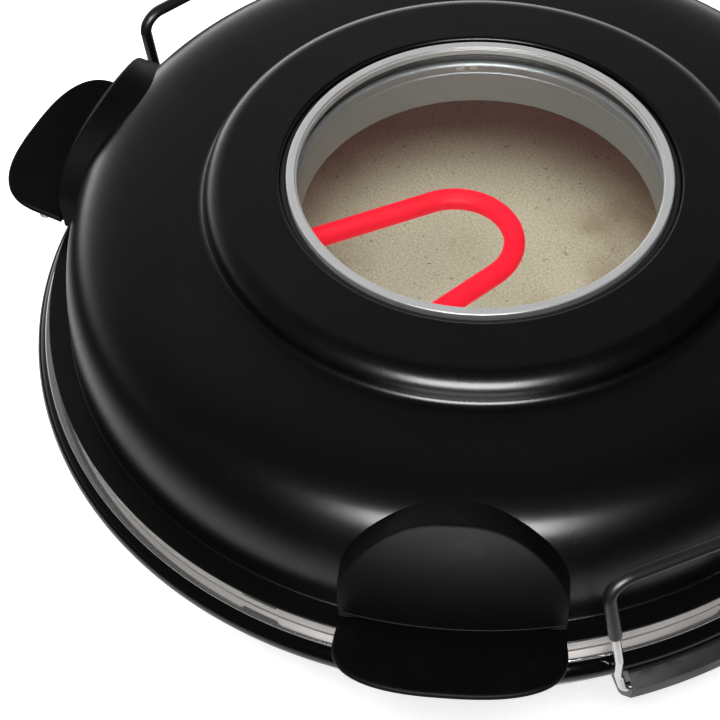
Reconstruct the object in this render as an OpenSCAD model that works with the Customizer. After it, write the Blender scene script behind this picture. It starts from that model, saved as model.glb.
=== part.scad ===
// Electric pizza maker: a round clamshell cooker. A windowed lid with a tube heater hinges at the
// back, a baking stone lies over a ring heater in the base, the lid has two handles and the base
// has two wire bails. Millimetres, +Z up, front towards -Y, feet on z = 0.

/* [Base] */
// Height of the rubber feet
foot_h = 8; // [5:0.5:14]
// Height from the bottom of the base to its rim
base_h = 34; // [32:1:44]
// Thickness of the base's steel sheet
base_wall = 1.2; // [0.8:0.1:1.6]
// Distance that the rolled bead stands out past the rim lip
bead_out = 3.6; // [2.6:0.2:5]
// Radius of the rolled bead
bead_rad = 5.7; // [5:0.1:6.2]
// Distance that the side wall draws in from the rim lip to the bottom
wall_draft = 8; // [5:0.5:11]
// Radius of the bottom corner
corner_rad = 5; // [3:0.5:7]
// Thickness of the bottom cover
cover_t = 1.2; // [0.8:0.1:1.8]
// Radius of the circle that the feet stand on
foot_circle_r = 136; // [120:1:138]
// Radius of a foot
foot_r = 11; // [8:0.5:13]

/* [Pan and stone] */
// Diameter of the baking stone
stone_d = 310; // [300:1:320]
// Thickness of the baking stone
stone_t = 10; // [8:0.5:12]
// Depth of the stone's top below the rim
stone_drop = 2; // [1:0.5:4]
// Gap around the stone
stone_gap = 2.6; // [1.5:0.1:4]
// Width of the ledge under the stone's edge
ledge_w = 7.6; // [5:0.2:10]
// Depth of the heater well below the ledge
well_depth = 12; // [10.5:0.5:12.5]
// Width of the sloping land between the stone and the rim
land_w = 17.4; // [14:0.2:22]
// Thickness of the pan and liner sheet
pan_wall = 0.8; // [0.6:0.1:1]

/* [Lid] */
// Height of the window panel's flat top over the rim
lid_h = 70.3; // [64:0.5:80]
// Thickness of the lid's steel sheet
lid_wall = 1.2; // [0.8:0.1:1.6]
// Height of the dome's lower crease over the rim
crease_h = 9; // [8:0.5:12]
// Width of the flat flange around the dome
flange_w = 8.9; // [8:0.1:11]
// Distance from the flange's edge in from the rim lip
flange_in = 2.8; // [2:0.2:4]
// Diameter of the raised window panel
panel_d = 210.6; // [200:0.2:216]
// Height of the step around the window panel
panel_step = 10.5; // [9.5:0.5:12]
// Radius of the panel's rolled edge
panel_roll = 8; // [6:0.5:8]
// Radius of the fillet at the foot of the panel's step
step_fillet = 3; // [2:0.5:3]
// Roundness of the dome's crown, higher is flatter
crown_power = 6; // [5:0.1:7]
// Roundness of the dome's shoulder, higher is squarer
shoulder_power = 2.5; // [2:0.1:3]
// Height of the steel skirt's lower edge over the rim
skirt_lift = 0.4; // [0.3:0.1:1]
// Number of vent notches in the skirt
notch_count = 6; // [3:1:10]
// Width of a vent notch at the skirt's top
notch_w = 17; // [10:1:24]
// Depth of a vent notch
notch_h = 3.2; // [2:0.2:3.6]

/* [Window] */
// Diameter of the clear view through the ring
view_d = 139.2; // [130:0.2:150]
// Width of the ring's flat face
ring_w = 4; // [3:0.2:6]
// Height of the ring over the panel
ring_proud = 0.6; // [0.2:0.1:1.2]
// Width of the dark groove around the ring
groove_w = 2.6; // [1.6:0.2:4]
// Thickness of the window glass
glass_t = 4; // [3:0.5:5]
// Thickness of the gasket under the glass
gasket_t = 1.3; // [0.8:0.1:2]
// Height of the collar between the glass seat and the sleeve
collar_h = 3.6; // [2:0.2:6]
// Height of the sleeve from the collar to the liner
sleeve_h = 12.5; // [9:0.5:16]

/* [Heaters] */
// Diameter of the upper heater tube
upper_tube_d = 8.4; // [6:0.2:9]
// Radius of the upper heater's ring
upper_ring_r = 112; // [105:1:120]
// Radius of the upper heater's hairpin bend
hairpin_r = 23.2; // [18:0.2:30]
// Distance of the hairpin's tip behind the lid's centre
hairpin_tip = 12.6; // [-10:0.2:30]
// Angle that each hairpin leg spreads towards the front
hairpin_splay = 9; // [0:0.5:12]
// Radius of the bend from a hairpin leg into the ring
ring_bend_r = 18; // [12:1:24]
// Gap between the upper heater and the liner
upper_drop = 3.2; // [2:0.2:6]
// Diameter of the lower heater tube
lower_tube_d = 6.6; // [5:0.2:7]
// Radius of the lower heater's ring
lower_ring_r = 95; // [80:1:110]
// Distance of each heater end from the middle plane
heater_end_x = 14; // [10:0.5:20]

/* [Handles] */
// Angle of each handle from the front
handle_angle = 54; // [40:0.2:60]
// Half of a handle's width at its foot
handle_half_w = 39.8; // [32:0.2:44]
// Height of the handle's seam line over the rim
seam_h = 17.5; // [15:0.5:20]
// Distance of the seam line in from the rim lip
seam_in = 3.8; // [2:0.2:6]
// Height of the arched pad over the rim
arch_h = 61.5; // [56:0.5:62]
// Height over the rim where the pad's straight sides end
arch_side_h = 30; // [26:0.5:36]
// Distance of the arch's top edge in from the rim lip
arch_in = 16.5; // [14:0.5:20]
// Bulge of the pad's outer face
face_bulge = 5; // [2:0.5:7]
// Distance that the paddle reaches past the rim lip
paddle_out = 26.4; // [18:0.2:34]
// Height of the paddle's outer edge over the rim
paddle_h = 25.1; // [20:0.5:30]
// Half of the paddle's greatest width
paddle_half_w = 40.2; // [36:0.2:48]
// Thickness of the paddle
paddle_t = 3.2; // [2.4:0.1:5]

/* [Bails] */
// Angle of each bail from the front
bail_angle = 82; // [76:0.5:90]
// Diameter of the bail wire
wire_d = 3.2; // [2.4:0.1:3.4]
// Diameter of the insulating sleeve
grip_d = 4.8; // [4:0.1:6]
// Height of the bail's pivot below the rim
pivot_drop = 13.5; // [12.5:0.5:15]
// Distance of the bail's pivot out past the rim lip
pivot_out = 5; // [5:0.2:7]
// Half of the bail's width at its bar
bar_half_w = 36; // [30:0.5:42]
// Half of the bail's width at its waist
waist_half_w = 29.6; // [26:0.2:34]
// Height of the bail's waist over the rim
waist_h = 6.5; // [5:0.5:9]
// Height of the bail's bar over the rim
bar_h = 52; // [44:0.5:60]
// Distance of the bar out past the rim lip
bar_out = 0.8; // [0.2:0.2:3]
// Bend radius at the ends of the bar
bar_bend_r = 8; // [5:0.5:11]
// Height over the rim where the insulating sleeve starts
grip_start_h = 22; // [14:0.5:28]

/* [Hinge] */
// Distance of the hinge axis behind the rim lip
hinge_out = 15; // [13:0.5:18]
// Height of the hinge axis over the rim
hinge_h = 2; // [1:0.5:4]
// Diameter of the hinge pin
hinge_pin_d = 6; // [4:0.5:7]
// Radius of the lid's hinge knuckle
knuckle_r = 9; // [8:0.5:10]
// Width of the lid's hinge arm
arm_w = 44; // [36:1:50]
// Width of the hinge housing
housing_w = 80; // [76:1:96]
// Wall of the hinge housing
housing_wall = 2.4; // [2:0.2:3]
// Diameter of the cord gland's hole
cord_hole_d = 7.2; // [6:0.2:8]
// Distance that the cord gland stands out
gland_out = 8; // [5:1:12]

/* [Clearances] */
// Gap between seated pieces of one body
seat_gap = 0.1; // [0.05:0.05:0.2]
// Gap between the base and what moves on it
run_gap = 0.4; // [0.3:0.05:0.6]
// Radial play of a pin in its bore
pin_play = 0.05; // [0.02:0.01:0.1]
// Radial play of a screw or tube in its hole
hole_play = 0.2; // [0.15:0.05:0.3]

/* [Hidden] */
$fn = 96;

// Heights
rim_z = foot_h + base_h;
shell_z = foot_h + cover_t + seat_gap;
ledge_z = rim_z - stone_drop - stone_t - seat_gap;
well_z = ledge_z - well_depth;
crease_z = rim_z + crease_h;
panel_z = rim_z + lid_h;
crown_z = panel_z - panel_step;

// Radii
stone_r = stone_d / 2;
pan_r = stone_r + stone_gap;
rim_r = pan_r + land_w;
bead_reach = rim_r + bead_out;
bead_c = [bead_reach - bead_rad, rim_z - pan_wall - seat_gap - bead_rad];
bottom_r = rim_r - wall_draft;
ledge_r = pan_r - ledge_w;
flange_r = rim_r - flange_in;
dome_r = flange_r - flange_w;
panel_r = panel_d / 2;
ring_r = view_d / 2 + ring_w;
recess_r = ring_r + groove_w;

// Window stack, from the ring down
ring_top_z = panel_z + ring_proud;
ring_t = 3.4;
glass_top_z = ring_top_z - ring_t - seat_gap;
gasket_z = glass_top_z - glass_t - gasket_t - seat_gap;
seat_z = gasket_z - seat_gap;
seat_w = 4.7;
collar_r = recess_r - seat_w - 1;
collar_top_z = seat_z - lid_wall - seat_gap;
sleeve_top_z = collar_top_z - pan_wall - collar_h;
sleeve_r = collar_r - 1;
liner_z = sleeve_top_z - sleeve_h;

// Skirt and liner
flange_z = crease_z - 0.9;
skirt_in = 4.2;
skirt_lip = 6;
skirt_r = rim_r - skirt_in;
skirt_wall = 0.8;
skirt_top_z = flange_z - lid_wall - seat_gap;
liner_foot_z = skirt_top_z - skirt_wall - seat_gap;
liner_foot_r = skirt_r - skirt_lip / 2;

// Upper heater
upper_r = upper_tube_d / 2;
upper_z = liner_z - pan_wall - upper_drop - upper_r;
hairpin_y = hairpin_tip - hairpin_r;

// Lower heater
lower_r = lower_tube_d / 2;
lower_z = (ledge_z + well_z) / 2 - 0.4;

// Hinge
hinge_y = rim_r + hinge_out;
hinge_z = rim_z + hinge_h;
ear_r = knuckle_r + 1;
housing_back_y = hinge_y + 14;
housing_top_z = hinge_z - knuckle_r - 4.5;
housing_low_z = shell_z + 1.2;
slot_half_w = arm_w / 2 + run_gap;
gland_x = (slot_half_w + housing_w / 2) / 2;
gland_z = (housing_low_z + housing_top_z) / 2;
gland_r = cord_hole_d / 2 + 2.6;

// The box's middle is the origin in plan, so the round body's axis lies a little in front of it
front_reach = bead_reach;
rear_reach = housing_back_y + gland_out;
axis_y = (front_reach - rear_reach) / 2;

// Bails
wire_r = wire_d / 2;
grip_r = grip_d / 2;
pivot_r = rim_r + pivot_out;
pivot_z = rim_z - pivot_drop;
block_half_w = 24.5;
block_reach = pivot_r + 4.3;
pin_half_w = block_half_w + run_gap + wire_r;
waist = [waist_half_w, rim_r + 4.7, rim_z + waist_h];
neck = [(pin_half_w + waist_half_w) / 2, bead_reach - 0.35, bead_c[1] + 0.6];
bar_r = rim_r + bar_out;

// Handles
seam_r = rim_r - seam_in;
seam_z = rim_z + seam_h;
arch_top = [rim_r - arch_in, rim_z + arch_h];
arch_side_z = rim_z + arch_side_h;
paddle_tip = [rim_r + paddle_out, rim_z + paddle_h];

// Points on an arc about c from angle a0 to a1 in n steps
function arc(c, r, a0, a1, n) =
    [for (i = [0:n]) let (a = a0 + (a1 - a0) * i / n) c + r * [cos(a), sin(a)]];
function backwards(p) = [for (i = [len(p) - 1:-1:0]) p[i]];
// The line t to the left of an open line of points
function left_of(p, t) =
    [for (i = [0:len(p) - 1])
        let (d = p[min(i + 1, len(p) - 1)] - p[max(i - 1, 0)])
        p[i] + t * [-d[1], d[0]] / norm(d)];
function unit(v) = v / norm(v);

// Everything is drawn about the round body's axis and then moved so that the box is centred
module on_axis() translate([0, axis_y, 0]) children();

// A sheet of thickness t to the left of a profile line, turned about the axis
module turned_sheet(p, t) {
    rotate_extrude($fn = 180) polygon(concat(p, backwards(left_of(p, t))));
}

// A turned ring with a rectangular section
module ring(r_in, r_out, z0, z1) {
    rotate_extrude($fn = 180) translate([r_in, z0]) square([r_out - r_in, z1 - z0]);
}

// The stretches of a bent rod stop short of each other, and a ball that stands out by a hair's
// breadth joins each pair. A ball on level rods can be turned, so that its poles lie off their lines.
joint_gap = 0.1;
joint_swell = 0.03;
level_turn = [25, 35, 45];
module joint(p, r, turn = [0, 0, 0])
    translate(p) rotate(turn) sphere(r = r + joint_swell, $fn = 32);

// A round rod between two points, cut short by the given trims
module rod(p, q, r, trim = [0, 0]) {
    v = q - p;
    translate(p) rotate([0, acos(v[2] / norm(v)), atan2(v[1], v[0])]) translate([0, 0, trim[0]])
        cylinder(r = r, h = norm(v) - trim[0] - trim[1], $fn = 32);
}

// A round rod turned about the Z axis from angle 0, short of a joint at each end
module rod_turn(bend, angle, r) {
    trim = joint_gap / bend * 180 / PI;
    rotate(trim) rotate_extrude(angle = angle - 2 * trim, $fn = 180) translate([bend, 0])
        circle(r = r, $fn = 32);
}

// A round rod along a line of points, with the given bend radius at each of its inner points
module bent_rod(p, bends, r, turn = [0, 0, 0]) {
    last = len(p) - 1;
    reach = [for (i = [0:last])
        i == 0 || i == last ? 0
        : bends[i - 1] / tan(acos(unit(p[i - 1] - p[i]) * unit(p[i + 1] - p[i])) / 2)];
    for (i = [0:last - 1]) {
        u = unit(p[i + 1] - p[i]);
        rod(p[i] + u * reach[i], p[i + 1] - u * reach[i + 1], r,
            [i == 0 ? 0 : joint_gap, i == last - 1 ? 0 : joint_gap]);
    }
    for (i = [1:last - 1]) {
        u = unit(p[i - 1] - p[i]);
        w = unit(p[i + 1] - p[i]);
        c = p[i] + unit(u + w) * norm([bends[i - 1], reach[i]]);
        x = unit(p[i] + u * reach[i] - c);
        x_end = unit(p[i] + w * reach[i] - c);
        z = unit(cross(x, x_end));
        y = cross(z, x);
        joint(p[i] + u * reach[i], r, turn);
        joint(p[i] + w * reach[i], r, turn);
        multmatrix([[x[0], y[0], z[0], c[0]], [x[1], y[1], z[1], c[1]], [x[2], y[2], z[2], c[2]]])
            rod_turn(bends[i - 1], acos(x * x_end), r);
    }
}
// A flat line of points lifted to the height z
function at_height(p, z) = [for (q = p) [q[0], q[1], z]];

// A pan-head screw pointing up, its head's underside at z = 0
module screw(r, length, head_r, head_h) {
    difference() {
        union() {
            cylinder(r = r, h = length, $fn = 32);
            translate([0, 0, -head_h]) cylinder(r = head_r, h = head_h, $fn = 32);
        }
        translate([-head_r, -0.5, -head_h - 1]) cube([2 * head_r, 1, 1.8]);
    }
}

// Places on the base's underside for the feet and for the cover's screws
module at_feet() for (a = [45:90:315]) rotate(a) translate([foot_circle_r, 0, 0]) children();
cover_screw_circle_r = bottom_r - 13;
module at_cover_screws() {
    for (a = [0:90:270]) rotate(a) translate([cover_screw_circle_r, 0, 0]) children();
}
// A place on one side of the front: side 1 is the right as seen from the front, -1 the left
module at_side(side, angle) rotate(-90 + side * angle) children();

// ---- Base ----

foot_neck_r = 4;
// Screws of the cover and the brackets: shank, head and the depth of their seats in the wall
cover_screw_r = 1.6;
screw_head_r = 3;
screw_head_h = 1.8;
screw_length = 12;
screw_seat = 2.2;

// Outside line of the base shell, from its bottom flange out and up to the rim
base_flange_w = 19;
base_line = concat(
    [[bottom_r - base_flange_w, shell_z]],
    arc([bottom_r - corner_rad, shell_z + corner_rad], corner_rad, -90, -20, 5),
    [[bead_c[0] - 0.7, bead_c[1] - bead_rad - 0.2]],
    arc(bead_c, bead_rad, -60, 90, 15),
    [[bead_c[0] - 3.5, bead_c[1] + bead_rad]]);

// Solid round body inside the base's outside, grown by a gap
module base_envelope(gap) {
    outside = left_of(base_line, -gap);
    rotate_extrude($fn = 180) polygon(concat([[0, shell_z - gap]], outside, [[0, rim_z]]));
}

lead_hole_r = 4;
module base_shell() color("#141414") on_axis() difference() {
    turned_sheet(base_line, base_wall);
    at_cover_screws() cylinder(r = cover_screw_r + hole_play, h = rim_z, $fn = 32);
    translate([gland_x, 0, gland_z]) rotate([-90, 0, 0])
        cylinder(r = lead_hole_r, h = rim_r + 20, $fn = 32);
    for (s = [-1, 1]) translate([s * housing_screw_x, bottom_r - 20, housing_screw_z])
        rotate([-90, 0, 0]) cylinder(r = cover_screw_r + hole_play, h = 40, $fn = 32);
    for (side = [-1, 1], s = [-1, 1]) at_side(side, bail_angle)
        translate([bottom_r - 25, s * block_screw_y, block_screw_z]) rotate([0, 90, 0])
            cylinder(r = cover_screw_r + hole_play, h = 40, $fn = 32);
}

cover_r = bottom_r - 7;
vent_count = 12;
vent_in_r = 60;
vent = [34, 4];
module bottom_cover() color("#202020") on_axis() difference() {
    translate([0, 0, foot_h]) cylinder(r = cover_r, h = cover_t, $fn = 180);
    at_cover_screws() cylinder(r = cover_screw_r + hole_play, h = rim_z, $fn = 32);
    at_feet() cylinder(r = foot_neck_r + hole_play, h = rim_z, $fn = 32);
    for (i = [0:vent_count - 1]) rotate(i * 360 / vent_count + 15)
        translate([vent_in_r, -vent[1] / 2, 0]) cube([vent[0], vent[1], rim_z]);
}

module feet() color("#101010") on_axis() at_feet() rotate_extrude() polygon([
    [0, 0], [foot_r - 1.5, 0], [foot_r, foot_h * 0.3], [foot_r - 0.8, foot_h - seat_gap],
    [foot_neck_r, foot_h - seat_gap], [foot_neck_r, foot_h + cover_t + seat_gap],
    [foot_neck_r + 2, foot_h + cover_t + seat_gap], [foot_neck_r + 1, foot_h + cover_t + 2.6],
    [0, foot_h + cover_t + 2.6]
]);

module cover_screws() color("silver") on_axis() at_cover_screws()
    translate([0, 0, foot_h - seat_gap])
        screw(cover_screw_r, cover_t + base_wall + 2, screw_head_r, screw_head_h);

// Upper surface of the pan, from its rolled lip in to the middle of the well
lip_rad = 0.8;
lip_in_rad = 2.4;
pan_line = concat(
    arc([rim_r - lip_rad, rim_z - lip_rad], lip_rad, 0, 90, 4),
    arc([rim_r - 4 - lip_in_rad, rim_z - lip_in_rad], lip_in_rad, 90, 145, 4),
    [[pan_r + 4, ledge_z + 3.2], [pan_r + 0.6, ledge_z + 0.7], [pan_r - 0.4, ledge_z]],
    [[ledge_r + 1, ledge_z], [ledge_r, ledge_z - 0.8], [ledge_r - 1.4, well_z + 2]],
    [[ledge_r - 3.4, well_z], [0, well_z]]);

// Each heater's ring ends in a bend through its sheet, at heater_end_x from the middle plane
lower_bend = lower_z - well_z + pan_wall / 2;
lower_end_angle =
    asin(heater_end_x / norm([lower_ring_r, lower_bend])) + atan2(lower_bend, lower_ring_r);
lower_end_y = sqrt(lower_ring_r ^ 2 + lower_bend ^ 2 - heater_end_x ^ 2);
lower_leg_z = well_z - pan_wall - 4;
module at_lower_ends() for (s = [-1, 1]) translate([s * heater_end_x, lower_end_y, 0]) children();

module lower_pan() color("#b9bcc0") on_axis() difference() {
    turned_sheet(pan_line, pan_wall);
    at_lower_ends() cylinder(r = lower_r + 2 * hole_play, h = ledge_z, $fn = 32);
}

module baking_stone() color("#d9cdb8") on_axis() translate([0, 0, ledge_z + seat_gap])
    rotate_extrude($fn = 180) polygon([
        [0, 0], [stone_r - 1, 0], [stone_r, 1], [stone_r, stone_t - 1.5],
        [stone_r - 1.5, stone_t], [0, stone_t]
    ]);

// The bend from a heater ring's end to its leg: side 1 bends up and -1 down, from the ring's end at
// the origin, which runs along Y
module end_bend(bend, side, r) {
    joint([0, 0, 0], r);
    translate([0, 0, side * bend]) rotate([90, 0, 90]) rotate(side > 0 ? -90 : 0)
        rod_turn(bend, 90, r);
    joint([0, bend, side * bend], r);
}

module lower_heater() color("#5a4038") on_axis() {
    translate([0, 0, lower_z]) rotate(90 + lower_end_angle)
        rod_turn(lower_ring_r, 360 - 2 * lower_end_angle, lower_r);
    for (m = [0, 1]) mirror([m, 0, 0]) {
        rotate(90 - lower_end_angle) translate([lower_ring_r, 0, lower_z])
            end_bend(lower_bend, -1, lower_r);
        rod([heater_end_x, lower_end_y, lower_z - lower_bend],
            [heater_end_x, lower_end_y, lower_leg_z], lower_r, [joint_gap, 0]);
    }
}

// A strap that holds a heater tube: the tube runs along Y through the origin, the foot is at z_foot
module tube_clip(tube_r, z_foot, length) {
    difference() {
        translate([-tube_r - 2.2, -length / 2, min(z_foot, -tube_r - 1)])
            cube([2 * tube_r + 4.4, length, max(z_foot, tube_r + 1) - min(z_foot, -tube_r - 1)]);
        rotate([90, 0, 0]) cylinder(r = tube_r + hole_play, h = length + 2, center = true, $fn = 32);
    }
}

clip_length = 5;
module lower_heater_clips() color("silver") on_axis()
    for (a = [30, 150, 270]) rotate(a) translate([lower_ring_r, 0, lower_z])
        tube_clip(lower_r, well_z + seat_gap - lower_z, clip_length);

terminal_wall = 1.6;
module lower_terminals() color("#e8e4da") on_axis() at_lower_ends()
    ring(lower_r + hole_play, lower_r + hole_play + terminal_wall,
        well_z - pan_wall - seat_gap - 3, well_z - pan_wall - seat_gap);

// Thermostat and thermal fuse, held to the pan's underside
sensor_x = 45;
sensor_y = 30;
sensor_z = well_z - pan_wall - seat_gap;
sensor_h = 4.2;
tab_x = 4;
tab = [0.8, 5];
wire_z = foot_h + cover_t + 2.2;
module thermostat() color("#2b2b2b") on_axis() translate([sensor_x, sensor_y, 0]) {
    translate([0, 0, sensor_z - 1]) cylinder(r = 10, h = 1, $fn = 48);
    translate([0, 0, sensor_z - sensor_h]) cylinder(r = 7.5, h = sensor_h - 1, $fn = 48);
    for (s = [-1, 1]) translate([s * tab_x - tab[0] / 2, -tab[1] / 2, wire_z - 0.6])
        cube([tab[0], tab[1], sensor_z - sensor_h - wire_z + 0.6]);
}

fuse_r = 1.8;
fuse_l = 14;
module thermal_fuse() color("#c9c2b0") on_axis() translate([-sensor_x, sensor_y, sensor_z]) {
    saddle = [6, 2 * fuse_r + 2.4, sensor_h];
    translate([-fuse_l / 2, 0, -fuse_r]) rotate([0, 90, 0])
        cylinder(r = fuse_r, h = fuse_l, $fn = 32);
    translate([-saddle[0] / 2, -saddle[1] / 2, -sensor_h]) difference() {
        cube(saddle);
        translate([-1, 1, 1]) cube([saddle[0] + 2, saddle[1] - 2, sensor_h]);
    }
}

block_y = 118;
block_size = [36, 14, 6];
module terminal_block() color("#e9e6de") on_axis() difference() {
    translate([-block_size[0] / 2, block_y - block_size[1] / 2, foot_h + cover_t + seat_gap])
        cube(block_size);
    for (x = [-12, 0, 12]) translate([x, block_y, foot_h + cover_t + 2.5])
        cylinder(r = 2, h = block_size[2], $fn = 32);
}

// Insulated leads in the bay under the pan, all at one height
lead_r = 1.1;
lead_gap = 0.2;
// The supply lead stops short of the base's flange
lead_stop_y = sqrt((bottom_r - base_flange_w - 2) ^ 2 - gland_x ^ 2);
module lead(p, bend)
    bent_rod(at_height(p, 0), [for (i = [2:len(p) - 1]) bend], lead_r, level_turn);
module base_wiring() color("#f2f2f0") on_axis() translate([0, 0, wire_z]) {
    // From the heater's ends, from the thermostat and the fuse, and from the gland to the block
    block_side_x = block_size[0] / 2 + lead_gap;
    for (s = [-1, 1]) {
        rod([s * heater_end_x, lower_end_y + lower_r + lead_gap, 0],
            [s * heater_end_x, block_y - block_size[1] / 2 - lead_gap, 0], lead_r);
        lead([[s * (sensor_x + tab_x), sensor_y + tab[1] / 2 + lead_gap],
            [s * (sensor_x + tab_x), block_y], [s * block_side_x, block_y]], 8);
    }
    lead([[block_side_x, block_y + 4], [gland_x, block_y + 4], [gland_x, lead_stop_y]], 6);
    // From the thermostat to the fuse
    rod([tab_x - sensor_x, sensor_y, 0], [sensor_x - tab_x - tab[0] / 2 - lead_gap, sensor_y, 0],
        lead_r);
}

// ---- Hinge on the base ----

housing_screw_x = slot_half_w - 8;
housing_screw_z = shell_z + 9;

module hinge_housing() color("#171717") on_axis() difference() {
    rotate([90, 0, 90]) translate([0, 0, -housing_w / 2]) linear_extrude(housing_w)
        polygon(concat(
            [[bottom_r - 12, housing_low_z], [housing_back_y - 5, housing_low_z]],
            arc([housing_back_y - 5, housing_low_z + 5], 5, -70, 0, 4),
            [[housing_back_y, housing_top_z - 2], [housing_back_y - 3, housing_top_z + 4]],
            arc([hinge_y, hinge_z], ear_r, 10, 190, 14),
            [[hinge_y - ear_r, rim_z - 8], [bottom_r - 12, rim_z - 8]]));
    base_envelope(seat_gap);
    // Slot for the lid's arm, open to the top and the back
    translate([-slot_half_w, hinge_y, hinge_z]) rotate([0, 90, 0])
        cylinder(r = knuckle_r + run_gap, h = 2 * slot_half_w);
    translate([-slot_half_w, hinge_y - knuckle_r - run_gap, hinge_z])
        cube([2 * slot_half_w, 60, 60]);
    translate([-slot_half_w, hinge_y, housing_top_z]) cube([2 * slot_half_w, 60, 60]);
    // Bore of the hinge pin
    translate([-pin_length / 2, hinge_y, hinge_z]) rotate([0, 90, 0])
        cylinder(r = hinge_pin_d / 2 + seat_gap, h = pin_length, $fn = 48);
    // Hollow on each side, open towards the base
    for (s = [-1, 1])
        translate([s * gland_x - pocket_half_w, bottom_r - 14, housing_low_z + housing_wall]) cube([
            2 * pocket_half_w, housing_back_y - housing_wall - bottom_r + 14,
            housing_top_z - housing_low_z - 2 * housing_wall
        ]);
    translate([gland_x, housing_back_y - 10, gland_z]) rotate([-90, 0, 0])
        cylinder(r = gland_r - 1.2 + hole_play, h = 20, $fn = 48);
    for (s = [-1, 1]) translate([s * housing_screw_x, bottom_r - 20, housing_screw_z])
        rotate([-90, 0, 0]) cylinder(r = cover_screw_r + pin_play, h = 32, $fn = 32);
}
pin_length = housing_w - 8;
pocket_half_w = (housing_w / 2 - slot_half_w) / 2 - housing_wall + 0.4;

module hinge_pin() color("silver") on_axis()
    translate([-pin_length / 2 + seat_gap, hinge_y, hinge_z]) rotate([0, 90, 0])
        cylinder(r = hinge_pin_d / 2, h = pin_length - 2 * seat_gap, $fn = 48);

module housing_screws() color("silver") on_axis() for (s = [-1, 1])
    translate([s * housing_screw_x, bottom_r - screw_seat, housing_screw_z]) rotate([-90, 0, 0])
        screw(cover_screw_r, screw_length, screw_head_r, screw_head_h);

// Strain relief of the mains cord: a bush with a flange inside the housing
module cord_gland() color("#0e0e0e") on_axis() translate([gland_x, housing_back_y, gland_z])
    rotate([-90, 0, 0]) difference() {
        union() {
            translate([0, 0, -housing_wall - 2 - seat_gap]) cylinder(r = gland_r, h = 2, $fn = 48);
            translate([0, 0, -housing_wall - 1]) cylinder(r = gland_r - 1.2,
                h = housing_wall + 2, $fn = 48);
            translate([0, 0, seat_gap])
                cylinder(r1 = gland_r, r2 = gland_r - 1, h = gland_out - seat_gap, $fn = 48);
        }
        translate([0, 0, -10]) cylinder(r = cord_hole_d / 2, h = gland_out + 20, $fn = 48);
    }

// ---- Bails ----

block_screw_y = 14;
block_screw_z = shell_z + 8;
block_half_angle = asin(block_half_w / block_reach);

module bail_block(side) on_axis() at_side(side, bail_angle) difference() {
    rotate(-block_half_angle) rotate_extrude(angle = 2 * block_half_angle, $fn = 180)
        polygon([
            [bottom_r - 6, shell_z + 2.5], [bottom_r + 7, shell_z + 3],
            [bottom_r + 10, shell_z + 5.5], [block_reach, pivot_z - 4],
            [block_reach, pivot_z + 1.5], [block_reach - 2.6, pivot_z + 4.2],
            [bead_reach + 1.2, pivot_z + 5.4], [bottom_r - 6, pivot_z + 5.4]
        ]);
    rotate(90 - side * bail_angle) base_envelope(seat_gap);
    translate([pivot_r, 0, pivot_z]) rotate([90, 0, 0])
        cylinder(r = wire_r + pin_play, h = 4 * block_half_w, center = true, $fn = 48);
    for (s = [-1, 1]) translate([bottom_r - 25, s * block_screw_y, block_screw_z]) rotate([0, 90, 0])
        cylinder(r = cover_screw_r + pin_play, h = 33, $fn = 32);
}
module bail_block_right() color("#121212") bail_block(1);
module bail_block_left() color("#121212") bail_block(-1);

module bail_block_screws() color("silver") on_axis()
    for (side = [-1, 1], s = [-1, 1]) at_side(side, bail_angle)
        translate([bottom_r - screw_seat - 0.2, s * block_screw_y, block_screw_z]) rotate([0, 90, 0])
            screw(cover_screw_r, screw_length - 3, screw_head_r, screw_head_h);

// The wire's line, from the pin on one side up over the bar and down to the other pin
function leg_line(s) = [
    [pivot_r, s * (block_half_w - 9), pivot_z], [pivot_r, s * pin_half_w, pivot_z],
    [neck[1], s * neck[0], neck[2]], [waist[1], s * waist[0], waist[2]]];
function bar_end(s) = [bar_r, s * bar_half_w, rim_z + bar_h];
wire_line = concat(leg_line(-1), [bar_end(-1), bar_end(1)], backwards(leg_line(1)));
leg_bends = [2.6, 8, 12];
wire_bends = concat(leg_bends, [bar_bend_r, bar_bend_r], backwards(leg_bends));
// The part of it that the insulating sleeve covers
grip_share = (grip_start_h - waist_h) / (bar_h - waist_h);
function grip_end(s) = leg_line(s)[3] + (bar_end(s) - leg_line(s)[3]) * grip_share;
grip_line = [grip_end(-1), bar_end(-1), bar_end(1), grip_end(1)];
bore_line = [leg_line(-1)[3], bar_end(-1), bar_end(1), leg_line(1)[3]];
grip_bore_r = wire_r + joint_swell + pin_play;

module bail_wire(side) on_axis() at_side(side, bail_angle) bent_rod(wire_line, wire_bends, wire_r);
module bail_grip(side) on_axis() at_side(side, bail_angle) difference() {
    bent_rod(grip_line, [bar_bend_r, bar_bend_r], grip_r);
    bent_rod(bore_line, [bar_bend_r, bar_bend_r], grip_bore_r);
}
module bail_wire_right() color("#d8d8d8") bail_wire(1);
module bail_wire_left() color("#d8d8d8") bail_wire(-1);
module bail_grip_right() color("#101010") bail_grip(1);
module bail_grip_left() color("#101010") bail_grip(-1);

// ---- Lid ----

// Angle of the panel step's wall from the vertical
step_lean = 8;
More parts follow.
